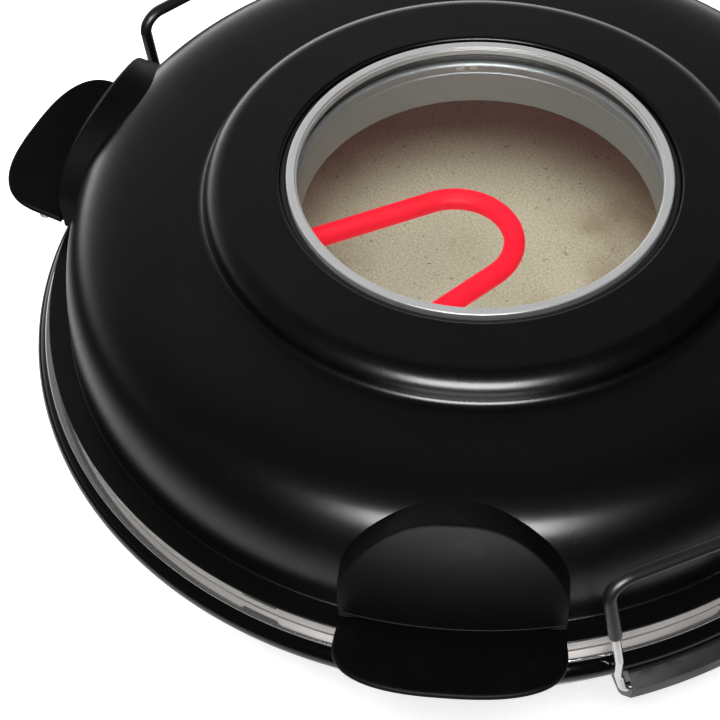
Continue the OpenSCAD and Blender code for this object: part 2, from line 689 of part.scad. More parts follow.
// Outside line of the lid, from the glass seat out over the panel and the dome to the flange
dome_in_r = panel_r + step_fillet + 0.4;
dome_line = [for (i = [0:22]) let (a = 90 * i / 22)
    [dome_in_r + (dome_r - dome_in_r) * pow(sin(a), 2 / crown_power),
     crease_z + (crown_z - crease_z) * pow(cos(a), 2 / shoulder_power)]];
lid_line = concat(
    [[recess_r - seat_w, seat_z], [recess_r, seat_z]],
    arc([recess_r + 1.5, panel_z - 1.5], 1.5, 180, 90, 5),
    arc([panel_r - panel_roll, panel_z - panel_roll], panel_roll, 90, step_lean, 8),
    arc([panel_r + step_fillet, crown_z + step_fillet], step_fillet, 180 + step_lean, 264, 5),
    dome_line,
    [[dome_r + 0.6, flange_z + 0.2], [dome_r + 1.8, flange_z]],
    [[flange_r - 0.6, flange_z], [flange_r, flange_z - 0.3]]);

// Solid round body inside the dome, grown by a gap
module dome_envelope(gap) {
    dome = left_of([for (i = [1:22]) dome_line[i]], gap);
    rotate_extrude($fn = 180)
        polygon(concat([[0, crease_z - 8]], [[0, crown_z + gap]], dome, [[dome_r + gap, crease_z - 8]]));
}

module lid_shell() color("#161616") on_axis() difference() {
    turned_sheet(lid_line, -lid_wall);
    translate([0, panel_r, arm_screw_z]) rotate([-90, 0, 0])
        cylinder(r = lead_hole_r, h = rim_r - panel_r, $fn = 32);
    for (s = [-1, 1]) translate([s * arm_screw_x, panel_r, arm_screw_z]) rotate([-90, 0, 0])
        cylinder(r = cover_screw_r + hole_play, h = rim_r - panel_r, $fn = 32);
}

skirt_line = [
    [skirt_r - skirt_lip, skirt_top_z], [skirt_r - 1, skirt_top_z],
    [skirt_r - 0.2, skirt_top_z - 0.8], [skirt_r, rim_z + skirt_lift]
];
module steel_skirt() color("#a9a294") on_axis() difference() {
    turned_sheet(skirt_line, -skirt_wall);
    // Vent notches, open to the top and narrower below
    for (i = [0:notch_count - 1]) rotate(-90 + (i + 0.5) * 360 / notch_count)
        translate([skirt_r - 2 * skirt_lip, 0, skirt_top_z]) rotate([90, 0, 90])
            linear_extrude(3 * skirt_lip) polygon([
                [-notch_w / 2, 1], [-notch_w / 2, 0], [-notch_w / 2 + notch_h / 2, -notch_h],
                [notch_w / 2 - notch_h / 2, -notch_h], [notch_w / 2, 0], [notch_w / 2, 1]
            ]);
}

// Lower surface of the liner, from the sleeve out and down to its foot
liner_line = [
    [sleeve_r + 1.0, liner_z - pan_wall], [upper_ring_r + 12, liner_z - pan_wall],
    [upper_ring_r + 22, liner_z - pan_wall - 3], [upper_ring_r + 31, liner_z - pan_wall - 10],
    [liner_foot_r - 12, liner_foot_z + 14], [liner_foot_r - 8, liner_foot_z + 3],
    [liner_foot_r - 6, liner_foot_z - pan_wall], [liner_foot_r, liner_foot_z - pan_wall]
];
module lid_liner() color("#c3c6c9") on_axis() difference() {
    turned_sheet(liner_line, pan_wall);
    at_upper_ends() cylinder(r = upper_r + 2 * hole_play, h = panel_z, $fn = 32);
}

module window_ring() color("#c8c8c8") on_axis() rotate_extrude($fn = 180) polygon([
    [view_d / 2, ring_top_z - 0.6], [view_d / 2 + 0.8, ring_top_z], [ring_r - 0.5, ring_top_z],
    [ring_r, ring_top_z - 0.5], [ring_r, ring_top_z - ring_t], [ring_r - 1, ring_top_z - ring_t],
    [ring_r - 1, ring_top_z - 1.4], [view_d / 2 + 1, ring_top_z - 1.4],
    [view_d / 2 + 1, ring_top_z - ring_t], [view_d / 2, ring_top_z - ring_t]
]);

glass_r = ring_r - 0.2;
module window_gasket() color("#0c0c0c") on_axis() rotate_extrude($fn = 180) polygon([
    [recess_r - seat_w, gasket_z], [recess_r - seat_gap, gasket_z],
    [recess_r - seat_gap, glass_top_z + 0.6], [ring_r + seat_gap, glass_top_z + 0.6],
    [ring_r + seat_gap, glass_top_z - glass_t - seat_gap + 0.05],
    [recess_r - seat_w, glass_top_z - glass_t - seat_gap + 0.05]
]);

module window_glass() color("#8899a0", 0.35) on_axis()
    translate([0, 0, glass_top_z - glass_t]) cylinder(r = glass_r, h = glass_t, $fn = 180);

module sleeve_collar() color("#77777a") on_axis() turned_sheet([
    [collar_r + 8, collar_top_z - pan_wall], [collar_r + 0.6, collar_top_z - pan_wall],
    [collar_r, collar_top_z - pan_wall - 0.6], [collar_r, sleeve_top_z]
], -pan_wall);

module window_sleeve() color("#707073") on_axis() {
    ring(sleeve_r, sleeve_r + pan_wall, liner_z - pan_wall, sleeve_top_z - seat_gap);
    ring(sleeve_r, collar_r + pan_wall, sleeve_top_z - seat_gap - pan_wall, sleeve_top_z - seat_gap);
}

// Upper heater: two mirrored halves of hairpin leg, bend and ring
leg_dir = [sin(hairpin_splay), -cos(hairpin_splay)];
leg_out = [cos(hairpin_splay), sin(hairpin_splay)];
leg_start = [0, hairpin_y] + hairpin_r * leg_out;
bend_base = leg_start + ring_bend_r * leg_out;
bend_path_r = upper_ring_r - ring_bend_r;
half_b = bend_base * leg_dir;
leg_length = -half_b + sqrt(half_b * half_b - bend_base * bend_base + bend_path_r * bend_path_r);
bend_c = bend_base + leg_length * leg_dir;
bend_angle = atan2(bend_c[1], bend_c[0]);
upper_bend = liner_z - pan_wall / 2 - upper_z;
upper_end_angle =
    asin(heater_end_x / norm([upper_ring_r, upper_bend])) + atan2(upper_bend, upper_ring_r);
upper_end_y = sqrt(upper_ring_r ^ 2 + upper_bend ^ 2 - heater_end_x ^ 2);
upper_leg_z = liner_z + 6.5;
module at_upper_ends() for (s = [-1, 1]) translate([s * heater_end_x, upper_end_y, 0]) children();

module upper_heater() color("#e0102a") on_axis() {
    leg_end = leg_start + leg_length * leg_dir;
    translate([0, hairpin_y, upper_z]) rotate(hairpin_splay)
        rod_turn(hairpin_r, 180 - 2 * hairpin_splay, upper_r);
    for (m = [0, 1]) mirror([m, 0, 0]) {
        joint([leg_start[0], leg_start[1], upper_z], upper_r, level_turn);
        rod([leg_start[0], leg_start[1], upper_z], [leg_end[0], leg_end[1], upper_z], upper_r,
            [joint_gap, joint_gap]);
        joint([leg_end[0], leg_end[1], upper_z], upper_r, level_turn);
        translate([bend_c[0], bend_c[1], upper_z]) rotate(180 + hairpin_splay)
            rod_turn(ring_bend_r, 180 + bend_angle - hairpin_splay, upper_r);
        rotate(bend_angle) joint([upper_ring_r, 0, upper_z], upper_r);
        translate([0, 0, upper_z]) rotate(bend_angle)
            rod_turn(upper_ring_r, 90 - upper_end_angle - bend_angle, upper_r);
        rotate(90 - upper_end_angle) translate([upper_ring_r, 0, upper_z])
            end_bend(upper_bend, 1, upper_r);
        rod([heater_end_x, upper_end_y, upper_z + upper_bend],
            [heater_end_x, upper_end_y, upper_leg_z], upper_r, [joint_gap, 0]);
    }
}

module upper_heater_clips() color("silver") on_axis()
    for (a = [-40, 30, 150, 220]) rotate(a) translate([upper_ring_r, 0, upper_z])
        tube_clip(upper_r, liner_z - pan_wall - seat_gap - upper_z, clip_length);

module upper_terminals() color("#e8e4da") on_axis() at_upper_ends()
    ring(upper_r + hole_play, upper_r + hole_play + terminal_wall, liner_z + seat_gap, liner_z + 5);

// Leads from the heater's ends back towards the hinge arm, above the liner
lead_turn_y = upper_end_y + 18.6;
lead_end_y = lead_turn_y + 20;
module lid_wiring() color("#f2f2f0") on_axis() translate([0, 0, upper_leg_z + seat_gap + lead_r])
    for (s = [-1, 1]) lead([[s * heater_end_x, upper_end_y - 3], [s * heater_end_x, lead_turn_y],
        [s * 3, lead_end_y]], 5);

// ---- Handles ----

arch_power = 2.1;
arch_round = 1.6;
arch_fall = 3;
arch_outline = concat(
    [[-handle_half_w, seam_z - paddle_t]],
    [for (i = [0:24]) let (s = -cos(180 * i / 24))
        [handle_half_w * s,
         arch_side_z + (arch_top[1] - arch_side_z) * pow(1 - pow(abs(s), arch_power), 1 / arch_round)]],
    [[handle_half_w, seam_z - paddle_t]]);

// Outer face of the pad: an arc bulging out between the seam and the arch's top edge
face_chord = arch_top - [seam_r, seam_z];
face_half = norm(face_chord) / 2;
face_rad = (face_half * face_half + face_bulge * face_bulge) / (2 * face_bulge);
face_normal = unit([face_chord[1], -face_chord[0]]);
face_c = [seam_r, seam_z] + face_chord / 2 - face_normal * (face_rad - face_bulge);
face_a0 = atan2(seam_z - face_c[1], seam_r - face_c[0]);
face_a1 = atan2(arch_top[1] - face_c[1], arch_top[0] - face_c[0]);

paddle_waist = 9.5;
paddle_power = 2.6;
paddle_c = seam_r + paddle_waist;
function paddle_edge(a) =
    [pow(abs(sin(a)), 2 / paddle_power) * (paddle_tip[0] - paddle_c) + paddle_c,
     paddle_half_w * sign(cos(a)) * pow(abs(cos(a)), 2 / paddle_power)];
paddle_outline = concat(
    [[seam_r - 3, handle_half_w - 0.6]],
    [for (i = [0:24]) paddle_edge(180 * i / 24)],
    [[seam_r - 3, -handle_half_w + 0.6]]);
handle_sweep = 20;

handle_screw_r = 1.5;
handle_screw_l = 2.2;
handle_head_r = 2.5;
handle_head_h = 2.8;
handle_screw_out = 7;
handle_screw_y = handle_half_w - 5;
module at_handle_screws() {
    for (s = [-1, 1]) translate([seam_r + handle_screw_out, s * handle_screw_y, 0]) children();
}
paddle_rise = (paddle_tip[1] - seam_z) / (paddle_tip[0] - seam_r);
handle_screw_z = seam_z + paddle_rise * handle_screw_out - paddle_t;

module handle(side) on_axis() at_side(side, handle_angle) difference() {
    union() {
        intersection() {
            rotate(-handle_sweep) rotate_extrude(angle = 2 * handle_sweep, $fn = 180) polygon(concat(
                [[arch_top[0] - 24, seam_z - paddle_t], [seam_r, seam_z - paddle_t]],
                arc(face_c, face_rad, face_a0, face_a1, 12),
                [[arch_top[0] - 24, arch_top[1] - arch_fall]]));
            translate([arch_top[0] - 30, 0, 0]) rotate([90, 0, 90]) linear_extrude(60)
                polygon(arch_outline);
        }
        intersection() {
            rotate(-handle_sweep) rotate_extrude(angle = 2 * handle_sweep, $fn = 180) polygon([
                [seam_r - 6, seam_z - paddle_t], [seam_r, seam_z - paddle_t],
                [paddle_tip[0] - 1, paddle_tip[1] - paddle_t],
                [paddle_tip[0], paddle_tip[1] - paddle_t / 2],
                [paddle_tip[0] - 0.8, paddle_tip[1]], [seam_r, seam_z], [seam_r - 6, seam_z]
            ]);
            linear_extrude(2 * rim_z) polygon(paddle_outline);
        }
    }
    dome_envelope(seat_gap);
    at_handle_screws() translate([0, 0, handle_screw_z - 2])
        cylinder(r = handle_screw_r + 0.02, h = 2 + paddle_t * 0.7, $fn = 32);
}
module handle_right() color("#1b1b1b") handle(1);
module handle_left() color("#1b1b1b") handle(-1);

module handle_screws() color("#d0d0d0") on_axis() for (side = [-1, 1]) at_side(side, handle_angle)
    at_handle_screws() translate([0, 0, handle_screw_z - 0.6])
        screw(handle_screw_r, handle_screw_l, handle_head_r, handle_head_h);

// ---- Hinge arm of the lid ----

arm_screw_x = 14;
arm_screw_y = dome_r - 5;
arm_screw_z = crease_z + 26;
module hinge_arm() color("#171717") on_axis() difference() {
    rotate([90, 0, 90]) translate([0, 0, -arm_w / 2]) linear_extrude(arm_w) polygon(concat(
        [[dome_r - 26, crown_z - 4], [dome_r - 8, crown_z - 5], [flange_r - 2, crown_z - 13],
         [hinge_y - 4, crease_z + 22]],
        [[hinge_y + knuckle_r, hinge_z + 8]],
        arc([hinge_y, hinge_z], knuckle_r, 0, -180, 14),
        [[hinge_y - knuckle_r, hinge_z + 6], [flange_r + 1.5, crease_z + 2], [flange_r - 2, crease_z + 5],
         [dome_r - 26, crease_z + 5]]));
    dome_envelope(seat_gap);
    translate([0, hinge_y, hinge_z]) rotate([0, 90, 0])
        cylinder(r = hinge_pin_d / 2 + pin_play, h = 2 * arm_w, center = true, $fn = 48);
    for (s = [-1, 1]) translate([s * arm_screw_x, panel_r, arm_screw_z]) rotate([-90, 0, 0])
        cylinder(r = cover_screw_r + pin_play, h = dome_r + 10 - panel_r, $fn = 32);
}

module arm_screws() color("silver") on_axis() for (s = [-1, 1])
    translate([s * arm_screw_x, arm_screw_y, arm_screw_z]) rotate([-90, 0, 0])
        screw(cover_screw_r, screw_length, screw_head_r, screw_head_h);

base_shell();
bottom_cover();
feet();
cover_screws();
lower_pan();
baking_stone();
lower_heater();
lower_heater_clips();
lower_terminals();
thermostat();
thermal_fuse();
terminal_block();
base_wiring();
hinge_housing();
hinge_pin();
housing_screws();
cord_gland();
bail_block_right();
bail_block_left();
bail_block_screws();
lid_shell();
steel_skirt();
lid_liner();
window_ring();
window_gasket();
window_glass();
sleeve_collar();
window_sleeve();
upper_heater();
upper_heater_clips();
upper_terminals();
lid_wiring();
handle_right();
handle_left();
handle_screws();
hinge_arm();
arm_screws();
bail_wire_right();
bail_grip_right();
bail_wire_left();
bail_grip_left();
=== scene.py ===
import math

import bpy
import bmesh
from mathutils import Matrix, Vector


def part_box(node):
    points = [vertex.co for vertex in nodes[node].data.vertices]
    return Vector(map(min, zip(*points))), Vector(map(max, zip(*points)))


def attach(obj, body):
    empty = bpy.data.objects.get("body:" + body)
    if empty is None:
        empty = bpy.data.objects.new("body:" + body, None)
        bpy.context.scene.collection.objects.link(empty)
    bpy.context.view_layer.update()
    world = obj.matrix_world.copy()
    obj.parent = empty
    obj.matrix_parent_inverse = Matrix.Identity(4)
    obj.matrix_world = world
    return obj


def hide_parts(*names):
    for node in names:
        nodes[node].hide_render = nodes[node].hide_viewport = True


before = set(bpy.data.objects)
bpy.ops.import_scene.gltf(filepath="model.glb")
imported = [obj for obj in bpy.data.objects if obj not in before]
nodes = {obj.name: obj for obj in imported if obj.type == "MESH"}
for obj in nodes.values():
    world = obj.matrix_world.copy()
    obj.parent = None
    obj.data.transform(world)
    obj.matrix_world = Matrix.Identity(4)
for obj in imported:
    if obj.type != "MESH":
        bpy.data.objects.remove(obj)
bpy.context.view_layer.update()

# ---- Sizes, in millimetres, as in the part's source ----

MM = 0.001
RIM_Z = 42.0                      # the rim of the base, over the table
RIM_R = 175.0                     # the rim lip's radius
WALL = 1.2                        # the lid's and the base's sheet
PANEL_Z = RIM_Z + 70.3
PANEL_STEP, PANEL_ROLL, STEP_FILLET, STEP_LEAN = 10.5, 8.0, 3.0, 8.0
CROWN_Z = PANEL_Z - PANEL_STEP
CREASE_Z = RIM_Z + 9.0
FLANGE_Z = CREASE_Z - 0.9
FLANGE_R = RIM_R - 2.8
DOME_R = FLANGE_R - 8.9
PANEL_R = 105.3
DOME_IN_R = PANEL_R + STEP_FILLET + 0.4
CROWN_POWER, SHOULDER_POWER = 6.0, 2.5
VIEW_R = 69.6                     # the clear view through the window ring
RING_R = VIEW_R + 4.0
RECESS_R = RING_R + 2.6
RING_TOP = PANEL_Z + 0.6
GLASS_TOP = RING_TOP - 3.5
GLASS_T = 4.0
SEAT_Z = GLASS_TOP - GLASS_T - 1.5
SEAT_W = 4.7
COLLAR_R = RECESS_R - SEAT_W - 1.0
COLLAR_TOP = SEAT_Z - WALL - 0.1
SLEEVE_TOP = COLLAR_TOP - 4.4
SLEEVE_R = COLLAR_R - 1.0
SLEEVE_H = 12.5
LINER_Z = SLEEVE_TOP - SLEEVE_H
SLEEVE_LOW = LINER_Z - 3.4
SHEET = 0.8
SKIRT_R = RIM_R - 4.2
SKIRT_TOP = FLANGE_Z - WALL - 0.1
SKIRT_LOW = RIM_Z + 0.4
UPPER_TUBE_R = 4.2
UPPER_RING_R = 112.0
UPPER_Z = LINER_Z - SHEET - 3.2 - UPPER_TUBE_R
HAIRPIN_R, HAIRPIN_Y, HAIRPIN_SPLAY = 23.2, -10.6, 9
LEG_BEND_R, LEG_RISE, HEATER_END_X = 18.0, 6.5, 14.0
STONE_R, STONE_T = 155.0, 10.0
PAN_R = STONE_R + 2.6
LEDGE_R, LEDGE_Z = PAN_R - 7.6, RIM_Z - 2.0 - STONE_T - 0.1
WELL_Z = LEDGE_Z - 12.0
SHELL_Z = 9.3                     # the underside of the base's flange
BOTTOM_R = RIM_R - 8.0
LIP_RAD, LIP_IN_RAD = 0.8, 2.4     # the pan's rolled lip, outside and inside
BEAD_RAD = 5.7
BEAD_AT = (RIM_R - 2.1, RIM_Z - 6.6)
HANDLE_ANGLE = 54.0               # from the front, to each side
PAD_HALF_W, PADDLE_HALF_W, PADDLE_T = 39.8, 40.2, 3.2
SEAM = Vector((RIM_R - 3.8, RIM_Z + 17.5))
ARCH_TOP = Vector((RIM_R - 16.5, RIM_Z + 61.5))
ARCH_SIDE_Z = RIM_Z + 30.0
PADDLE_TIP = Vector((RIM_R + 26.4, RIM_Z + 25.1))
PAD_DEPTH, FACE_BULGE = 20.5, 5.0
PAD_SLOPE = (7.0, 24)             # how far the pad's top falls inwards over a length
ARCH_FLANK, ARCH_ROUND, PADDLE_ROUND = 2.4, 1.6, 2.6
BAIL_ANGLE = 82.0
WIRE_R, GRIP_R = 1.6, 2.4
PIN_Z = 28.5                      # the height of the bails' pins
WAIST_RISE, BAIL_RISE, GRIP_RISE = 6.5, 52, 22
WIRE_BENDS, GRIP_BENDS = [2.6, 8, 12, 8, 8, 12, 8, 2.6], [8, 8]

axis_y = sum(corner.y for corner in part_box("lid_shell")) / 2 / MM


# ---- Lines and meshes ----

def arc(c, r, a0, a1, n):
    """Points on an arc about c, from angle a0 to a1 in degrees."""
    angles = [math.radians(a0 + (a1 - a0) * i / n) for i in range(n + 1)]
    return [(c[0] + r * math.cos(a), c[1] + r * math.sin(a)) for a in angles]


def rounded(points, radius, closed=False, steps=5):
    """A line whose corners are replaced by arcs. radius is one number, or one for each point."""
    points = [Vector(p) for p in points]
    radii = radius if isinstance(radius, (list, tuple)) else [radius] * len(points)
    out = []
    for i, p in enumerate(points):
        if (not closed and i in (0, len(points) - 1)) or radii[i] <= 0:
            out.append(p)
            continue
        a, b = points[i - 1], points[(i + 1) % len(points)]
        u, w = (a - p).normalized(), (b - p).normalized()
        half = u.angle(w) / 2
        if half > math.radians(89):
            out.append(p)
            continue
        reach = min(radii[i] / math.tan(half), 0.49 * (a - p).length, 0.49 * (b - p).length)
        r = reach * math.tan(half)
        middle = p + (u + w).normalized() * math.hypot(r, reach)
        start, end = p + u * reach - middle, p + w * reach - middle
        sweep = start.angle(end)
        for k in range(steps + 1):
            t = k / steps
            mixed = (start * math.sin((1 - t) * sweep) + end * math.sin(t * sweep)) / math.sin(sweep)
            out.append(middle + mixed)
    return out


def offset_line(points, t):
    """The line t to the left of an open 2-D line."""
    points = [Vector(p[:2]) for p in points]
    out = []
    for i, p in enumerate(points):
        d = points[min(i + 1, len(points) - 1)] - points[max(i - 1, 0)]
        out.append(p + Vector((-d.y, d.x)).normalized() * t)
    return out


def evenly(points, n):
    """n + 1 points spaced evenly along a line."""
    points = [Vector(p) for p in points]
    along = [0.0]
    for a, b in zip(points, points[1:]):
        along.append(along[-1] + (b - a).length)
    out, k = [], 0
    for i in range(n + 1):
        s = along[-1] * i / n
        while k < len(points) - 2 and along[k + 1] < s:
            k += 1
        step = along[k + 1] - along[k]
        out.append(points[k].lerp(points[k + 1], (s - along[k]) / step if step else 0))
    return out


def even_loop(points, n):
    """n points spaced evenly round a closed line."""
    return evenly(list(points) + [points[0]], n)[:-1]


def add_mesh(name, verts, faces, sharp=40):
    """A mesh object from vertices in millimetres about the round body's axis."""
    mesh = bpy.data.meshes.new(name)
    mesh.from_pydata([(x * MM, (y + axis_y) * MM, z * MM) for x, y, z in verts], [], faces)
    bm = bmesh.new()
    bm.from_mesh(mesh)
    bmesh.ops.remove_doubles(bm, verts=bm.verts, dist=1e-7)
    bmesh.ops.dissolve_degenerate(bm, edges=bm.edges, dist=1e-7)
    bmesh.ops.recalc_face_normals(bm, faces=bm.faces)
    bm.to_mesh(mesh)
    bm.free()
    mesh.shade_smooth()
    mesh.set_sharp_from_angle(angle=math.radians(sharp))
    piece = bpy.data.objects.new(name, mesh)
    bpy.context.scene.collection.objects.link(piece)
    flatter = piece.modifiers.new("flat_faces", "WEIGHTED_NORMAL")
    flatter.keep_sharp = True
    return piece


def joined(*shapes):
    """One shape, as vertices and faces, from several."""
    verts, faces = [], []
    for more_verts, more_faces in shapes:
        first = len(verts)
        verts += more_verts
        faces += [tuple(first + k for k in face) for face in more_faces]
    return verts, faces


def moved(shape, matrix):
    """A shape with its vertices turned by a matrix."""
    return [tuple(matrix @ Vector(v)) for v in shape[0]], shape[1]


def softened(name, node, material, body, slot, width, angle=32):
    """A stand-in for a CAD node with its flat faces whole and its edges rounded."""
    mesh = nodes[node].data.copy()
    mesh.materials.clear()
    bm = bmesh.new()
    bm.from_mesh(mesh)
    bmesh.ops.remove_doubles(bm, verts=bm.verts, dist=1e-6)
    bmesh.ops.dissolve_limit(bm, angle_limit=math.radians(1), verts=bm.verts, edges=bm.edges)
    bm.to_mesh(mesh)
    bm.free()
    mesh.shade_smooth()
    mesh.set_sharp_from_angle(angle=math.radians(angle))
    piece = bpy.data.objects.new(name, mesh)
    bpy.context.scene.collection.objects.link(piece)
    edges = piece.modifiers.new("round_edges", "BEVEL")
    edges.width, edges.segments = width * MM, 3
    edges.limit_method, edges.angle_limit = "ANGLE", math.radians(angle)
    edges.harden_normals = True
    return dress(piece, material, body, slot, node)


def dress(piece, material, body, slot, *replaced):
    """Gives a piece its material and its body, and hides the CAD nodes that it stands for. slot is
    not used.
    """
    piece.data.materials.append(material)
    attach(piece, body)
    if replaced:
        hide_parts(*replaced)
    return piece


def lathe(name, profile, turns=288, start=0.0, sweep=360.0, shape=None):
    """A closed profile of (radius, height) turned about the axis. shape(angle, point) may move a
    point of the profile; an open sweep gets end faces."""
    full = sweep >= 360
    count = turns if full else turns + 1
    verts, faces, n = [], [], len(profile)
    for i in range(count):
        angle = math.radians(start + sweep * i / turns)
        for p in profile:
            r, z = shape(angle, p) if shape else p[:2]
            verts.append((r * math.cos(angle), r * math.sin(angle), z))
    for i in range(turns):
        a, b = i * n, (i + 1) % count * n
        for k in range(n):
            m = (k + 1) % n
            faces.append((a + k, a + m, b + m, b + k))
    if not full:
        faces += [tuple(range(n)), tuple(range(turns * n, turns * n + n))[::-1]]
    return add_mesh(name, verts, faces)


def sheet_profile(line, t):
    """A closed profile: a line and its offset by t to the left."""
    return [Vector(p[:2]) for p in line] + offset_line(line, t)[::-1]


def ring_faces(rows, n, closed_ends=True):
    """Faces between rows of n vertices that each go round, and over the first and last row."""
    faces = []
    for i in range(rows - 1):
        for k in range(n):
            m = (k + 1) % n
            faces.append((i * n + k, i * n + m, (i + 1) * n + m, (i + 1) * n + k))
    if closed_ends:
        faces += [tuple(range(n))[::-1], tuple(range((rows - 1) * n, rows * n))]
    return faces


def tube(line, r, bore=0.0, sides=24, end_round=0.4):
    """The shape of a round tube along a 3-D line, with rounded ends and an optional bore."""
    line = [Vector(p) for p in line]
    tangents = [(line[min(i + 1, len(line) - 1)] - line[max(i - 1, 0)]).normalized()
                for i in range(len(line))]
    side = tangents[0].orthogonal().normalized()
    frames = []
    for t in tangents:
        side = (side - t * side.dot(t)).normalized()
        frames.append((side.copy(), t.cross(side)))
    verts, rows = [], 0

    def row(i, radius, shift=0.0):
        nonlocal rows
        x, y = frames[i]
        c = line[i] + tangents[i] * shift
        for k in range(sides):
            a = 2 * math.pi * k / sides
            verts.append(tuple(c + x * radius * math.cos(a) + y * radius * math.sin(a)))
        rows += 1

    last, steps = len(line) - 1, 4
    for k in range(steps + 1):
        a = math.pi / 2 * k / steps
        row(0, r - end_round + end_round * math.sin(a), -end_round * math.cos(a))
    for i in range(1, last):
        row(i, r)
    for k in range(steps + 1):
        a = math.pi / 2 * (1 - k / steps)
        row(last, r - end_round + end_round * math.sin(a), end_round * math.cos(a))
    if bore:
        for i in range(last, -1, -1):
            shift = end_round if i == last else -end_round if i == 0 else 0
            row(i, bore, shift)
        n, faces = sides, ring_faces(rows, sides, False)
        for k in range(n):
            m = (k + 1) % n
            faces.append(((rows - 1) * n + k, (rows - 1) * n + m, m, k))
        return verts, faces
    return verts, ring_faces(rows, sides)


def bent_line(points, bends, step=6.0):
    """A 3-D line with an arc of the given radius at each inner point, a point every few degrees."""
    points = [Vector(p) for p in points]
    out = [points[0]]
    for i in range(1, len(points) - 1):
        p = points[i]
        u, w = (points[i - 1] - p).normalized(), (points[i + 1] - p).normalized()
        half = u.angle(w) / 2
        reach = bends[i - 1] / math.tan(half)
        middle = p + (u + w).normalized() * math.hypot(bends[i - 1], reach)
        start, end = p + u * reach - middle, p + w * reach - middle
        sweep = start.angle(end)
        n = max(2, round(math.degrees(sweep) / step))
        for k in range(n + 1):
            t = k / n
            out.append(middle + (start * math.sin((1 - t) * sweep) + end * math.sin(t * sweep))
                       / math.sin(sweep))
    return out + [points[-1]]


def slab(outline, centre, top, low, edge, low_edge=None, rings=10, place=None):
    """A closed body over a flat outline that is star-shaped about its centre, between the heights
    top(p) and low(p), with rounded edges. place(x, y, height) puts a point in space."""
    low_edge = edge if low_edge is None else low_edge
    outline = [Vector(p) for p in outline]
    centre, n = Vector(centre), len(outline)
    inward = []
    for i, p in enumerate(outline):
        d = outline[(i + 1) % n] - outline[i - 1]
        normal = Vector((-d.y, d.x)).normalized()
        inward.append(normal if normal.dot(centre - p) > 0 else -normal)
    verts = []

    def row(level, inset, drop, scale=1.0):
        for p, q in zip(outline, inward):
            e = centre + (p + q * inset - centre) * scale
            verts.append(place(e.x, e.y, level(e) + drop))

    shares = [k / rings for k in range(1, rings)] + [0.95]
    steps, rows = 5, 0
    for share in [0.02] + shares:
        row(top, edge, 0, share)
        rows += 1
    for k in range(steps + 1):
        a = math.pi / 2 * k / steps
        row(top, edge * (1 - math.sin(a)), -edge * (1 - math.cos(a)))
        rows += 1
    for k in range(steps, -1, -1):
        a = math.pi / 2 * k / steps
        row(low, low_edge * (1 - math.sin(a)), low_edge * (1 - math.cos(a)))
        rows += 1
    for share in shares[::-1] + [0.02]:
        row(low, low_edge, 0, share)
        rows += 1
    return verts, ring_faces(rows, n)


def turned_about(angle):
    """The matrix of a turn about the axis, in degrees."""
    return Matrix.Rotation(math.radians(angle), 3, "Z")


def at_side(side, angle):
    """The turn that brings a piece drawn towards +X to its place beside the front."""
    return turned_about(-90 + side * angle)


# ---- Materials ----

def new_material(name, color=(0.5, 0.5, 0.5), roughness=0.4, **sockets):
    """A Principled material and its tree. Other sockets are given by their names."""
    material = bpy.data.materials.new(name)
    material.use_nodes = True
    shader = material.node_tree.nodes["Principled BSDF"]
    shader.inputs["Base Color"].default_value = (*color, 1)
    shader.inputs["Roughness"].default_value = roughness
    for key, value in sockets.items():
        shader.inputs[key.replace("_", " ")].default_value = value
    return material, material.node_tree, shader


def add(tree, kind, values=None, **settings):
    """A node with its settings and input values; an input may be given a socket to link."""
    node = tree.nodes.new(kind)
    for key, value in settings.items():
        setattr(node, key, value)
    for key, value in (values or {}).items():
        if isinstance(value, bpy.types.NodeSocket):
            tree.links.new(value, node.inputs[key])
        else:
            node.inputs[key].default_value = value
    return node


def object_coords(tree, scale=(1, 1, 1)):
    """Object coordinates in metres, stretched by scale."""
    coords = add(tree, "ShaderNodeTexCoord").outputs["Object"]
    return add(tree, "ShaderNodeMapping", {"Vector": coords, "Scale": scale}).outputs["Vector"]


def calc(tree, operation, *values):
    """A Math node's result."""
    return add(tree, "ShaderNodeMath", dict(enumerate(values)), operation=operation).outputs[0]


def polar_coords(tree, around, radial, up):
    """Coordinates about the axis: the angle in radians, the radius and the height in metres, each
    times its own factor."""
    coords = add(tree, "ShaderNodeTexCoord").outputs["Object"]
    centred = add(tree, "ShaderNodeVectorMath", {0: coords, 1: (0, -axis_y * MM, 0)},
                  operation="ADD")
    parts = add(tree, "ShaderNodeSeparateXYZ", {0: centred.outputs[0]})
    angle = add(tree, "ShaderNodeMath", {0: parts.outputs["Y"], 1: parts.outputs["X"]},
                operation="ARCTAN2")
    flat = add(tree, "ShaderNodeVectorMath", {0: centred.outputs[0], 1: (1, 1, 0)},
               operation="MULTIPLY")
    radius = add(tree, "ShaderNodeVectorMath", {0: flat.outputs[0]}, operation="LENGTH")
    combined = add(tree, "ShaderNodeCombineXYZ", {
        "X": angle.outputs[0], "Y": radius.outputs["Value"], "Z": parts.outputs["Z"]})
    return add(tree, "ShaderNodeVectorMath", {0: combined.outputs[0], 1: (around, radial, up)},
               operation="MULTIPLY").outputs[0]


def noise(tree, vector, scale, detail=2.0, rough=0.5):
    """A noise texture's value, from 0 to 1."""
    return add(tree, "ShaderNodeTexNoise", {
        "Vector": vector, "Scale": scale, "Detail": detail, "Roughness": rough}).outputs["Fac"]


def ramp(tree, value, low, high, out_low, out_high):
    """value from low to high, mapped smoothly to out_low to out_high."""
    return add(tree, "ShaderNodeMapRange", {
        "Value": value, "From Min": low, "From Max": high, "To Min": out_low, "To Max": out_high},
        interpolation_type="SMOOTHSTEP").outputs["Result"]


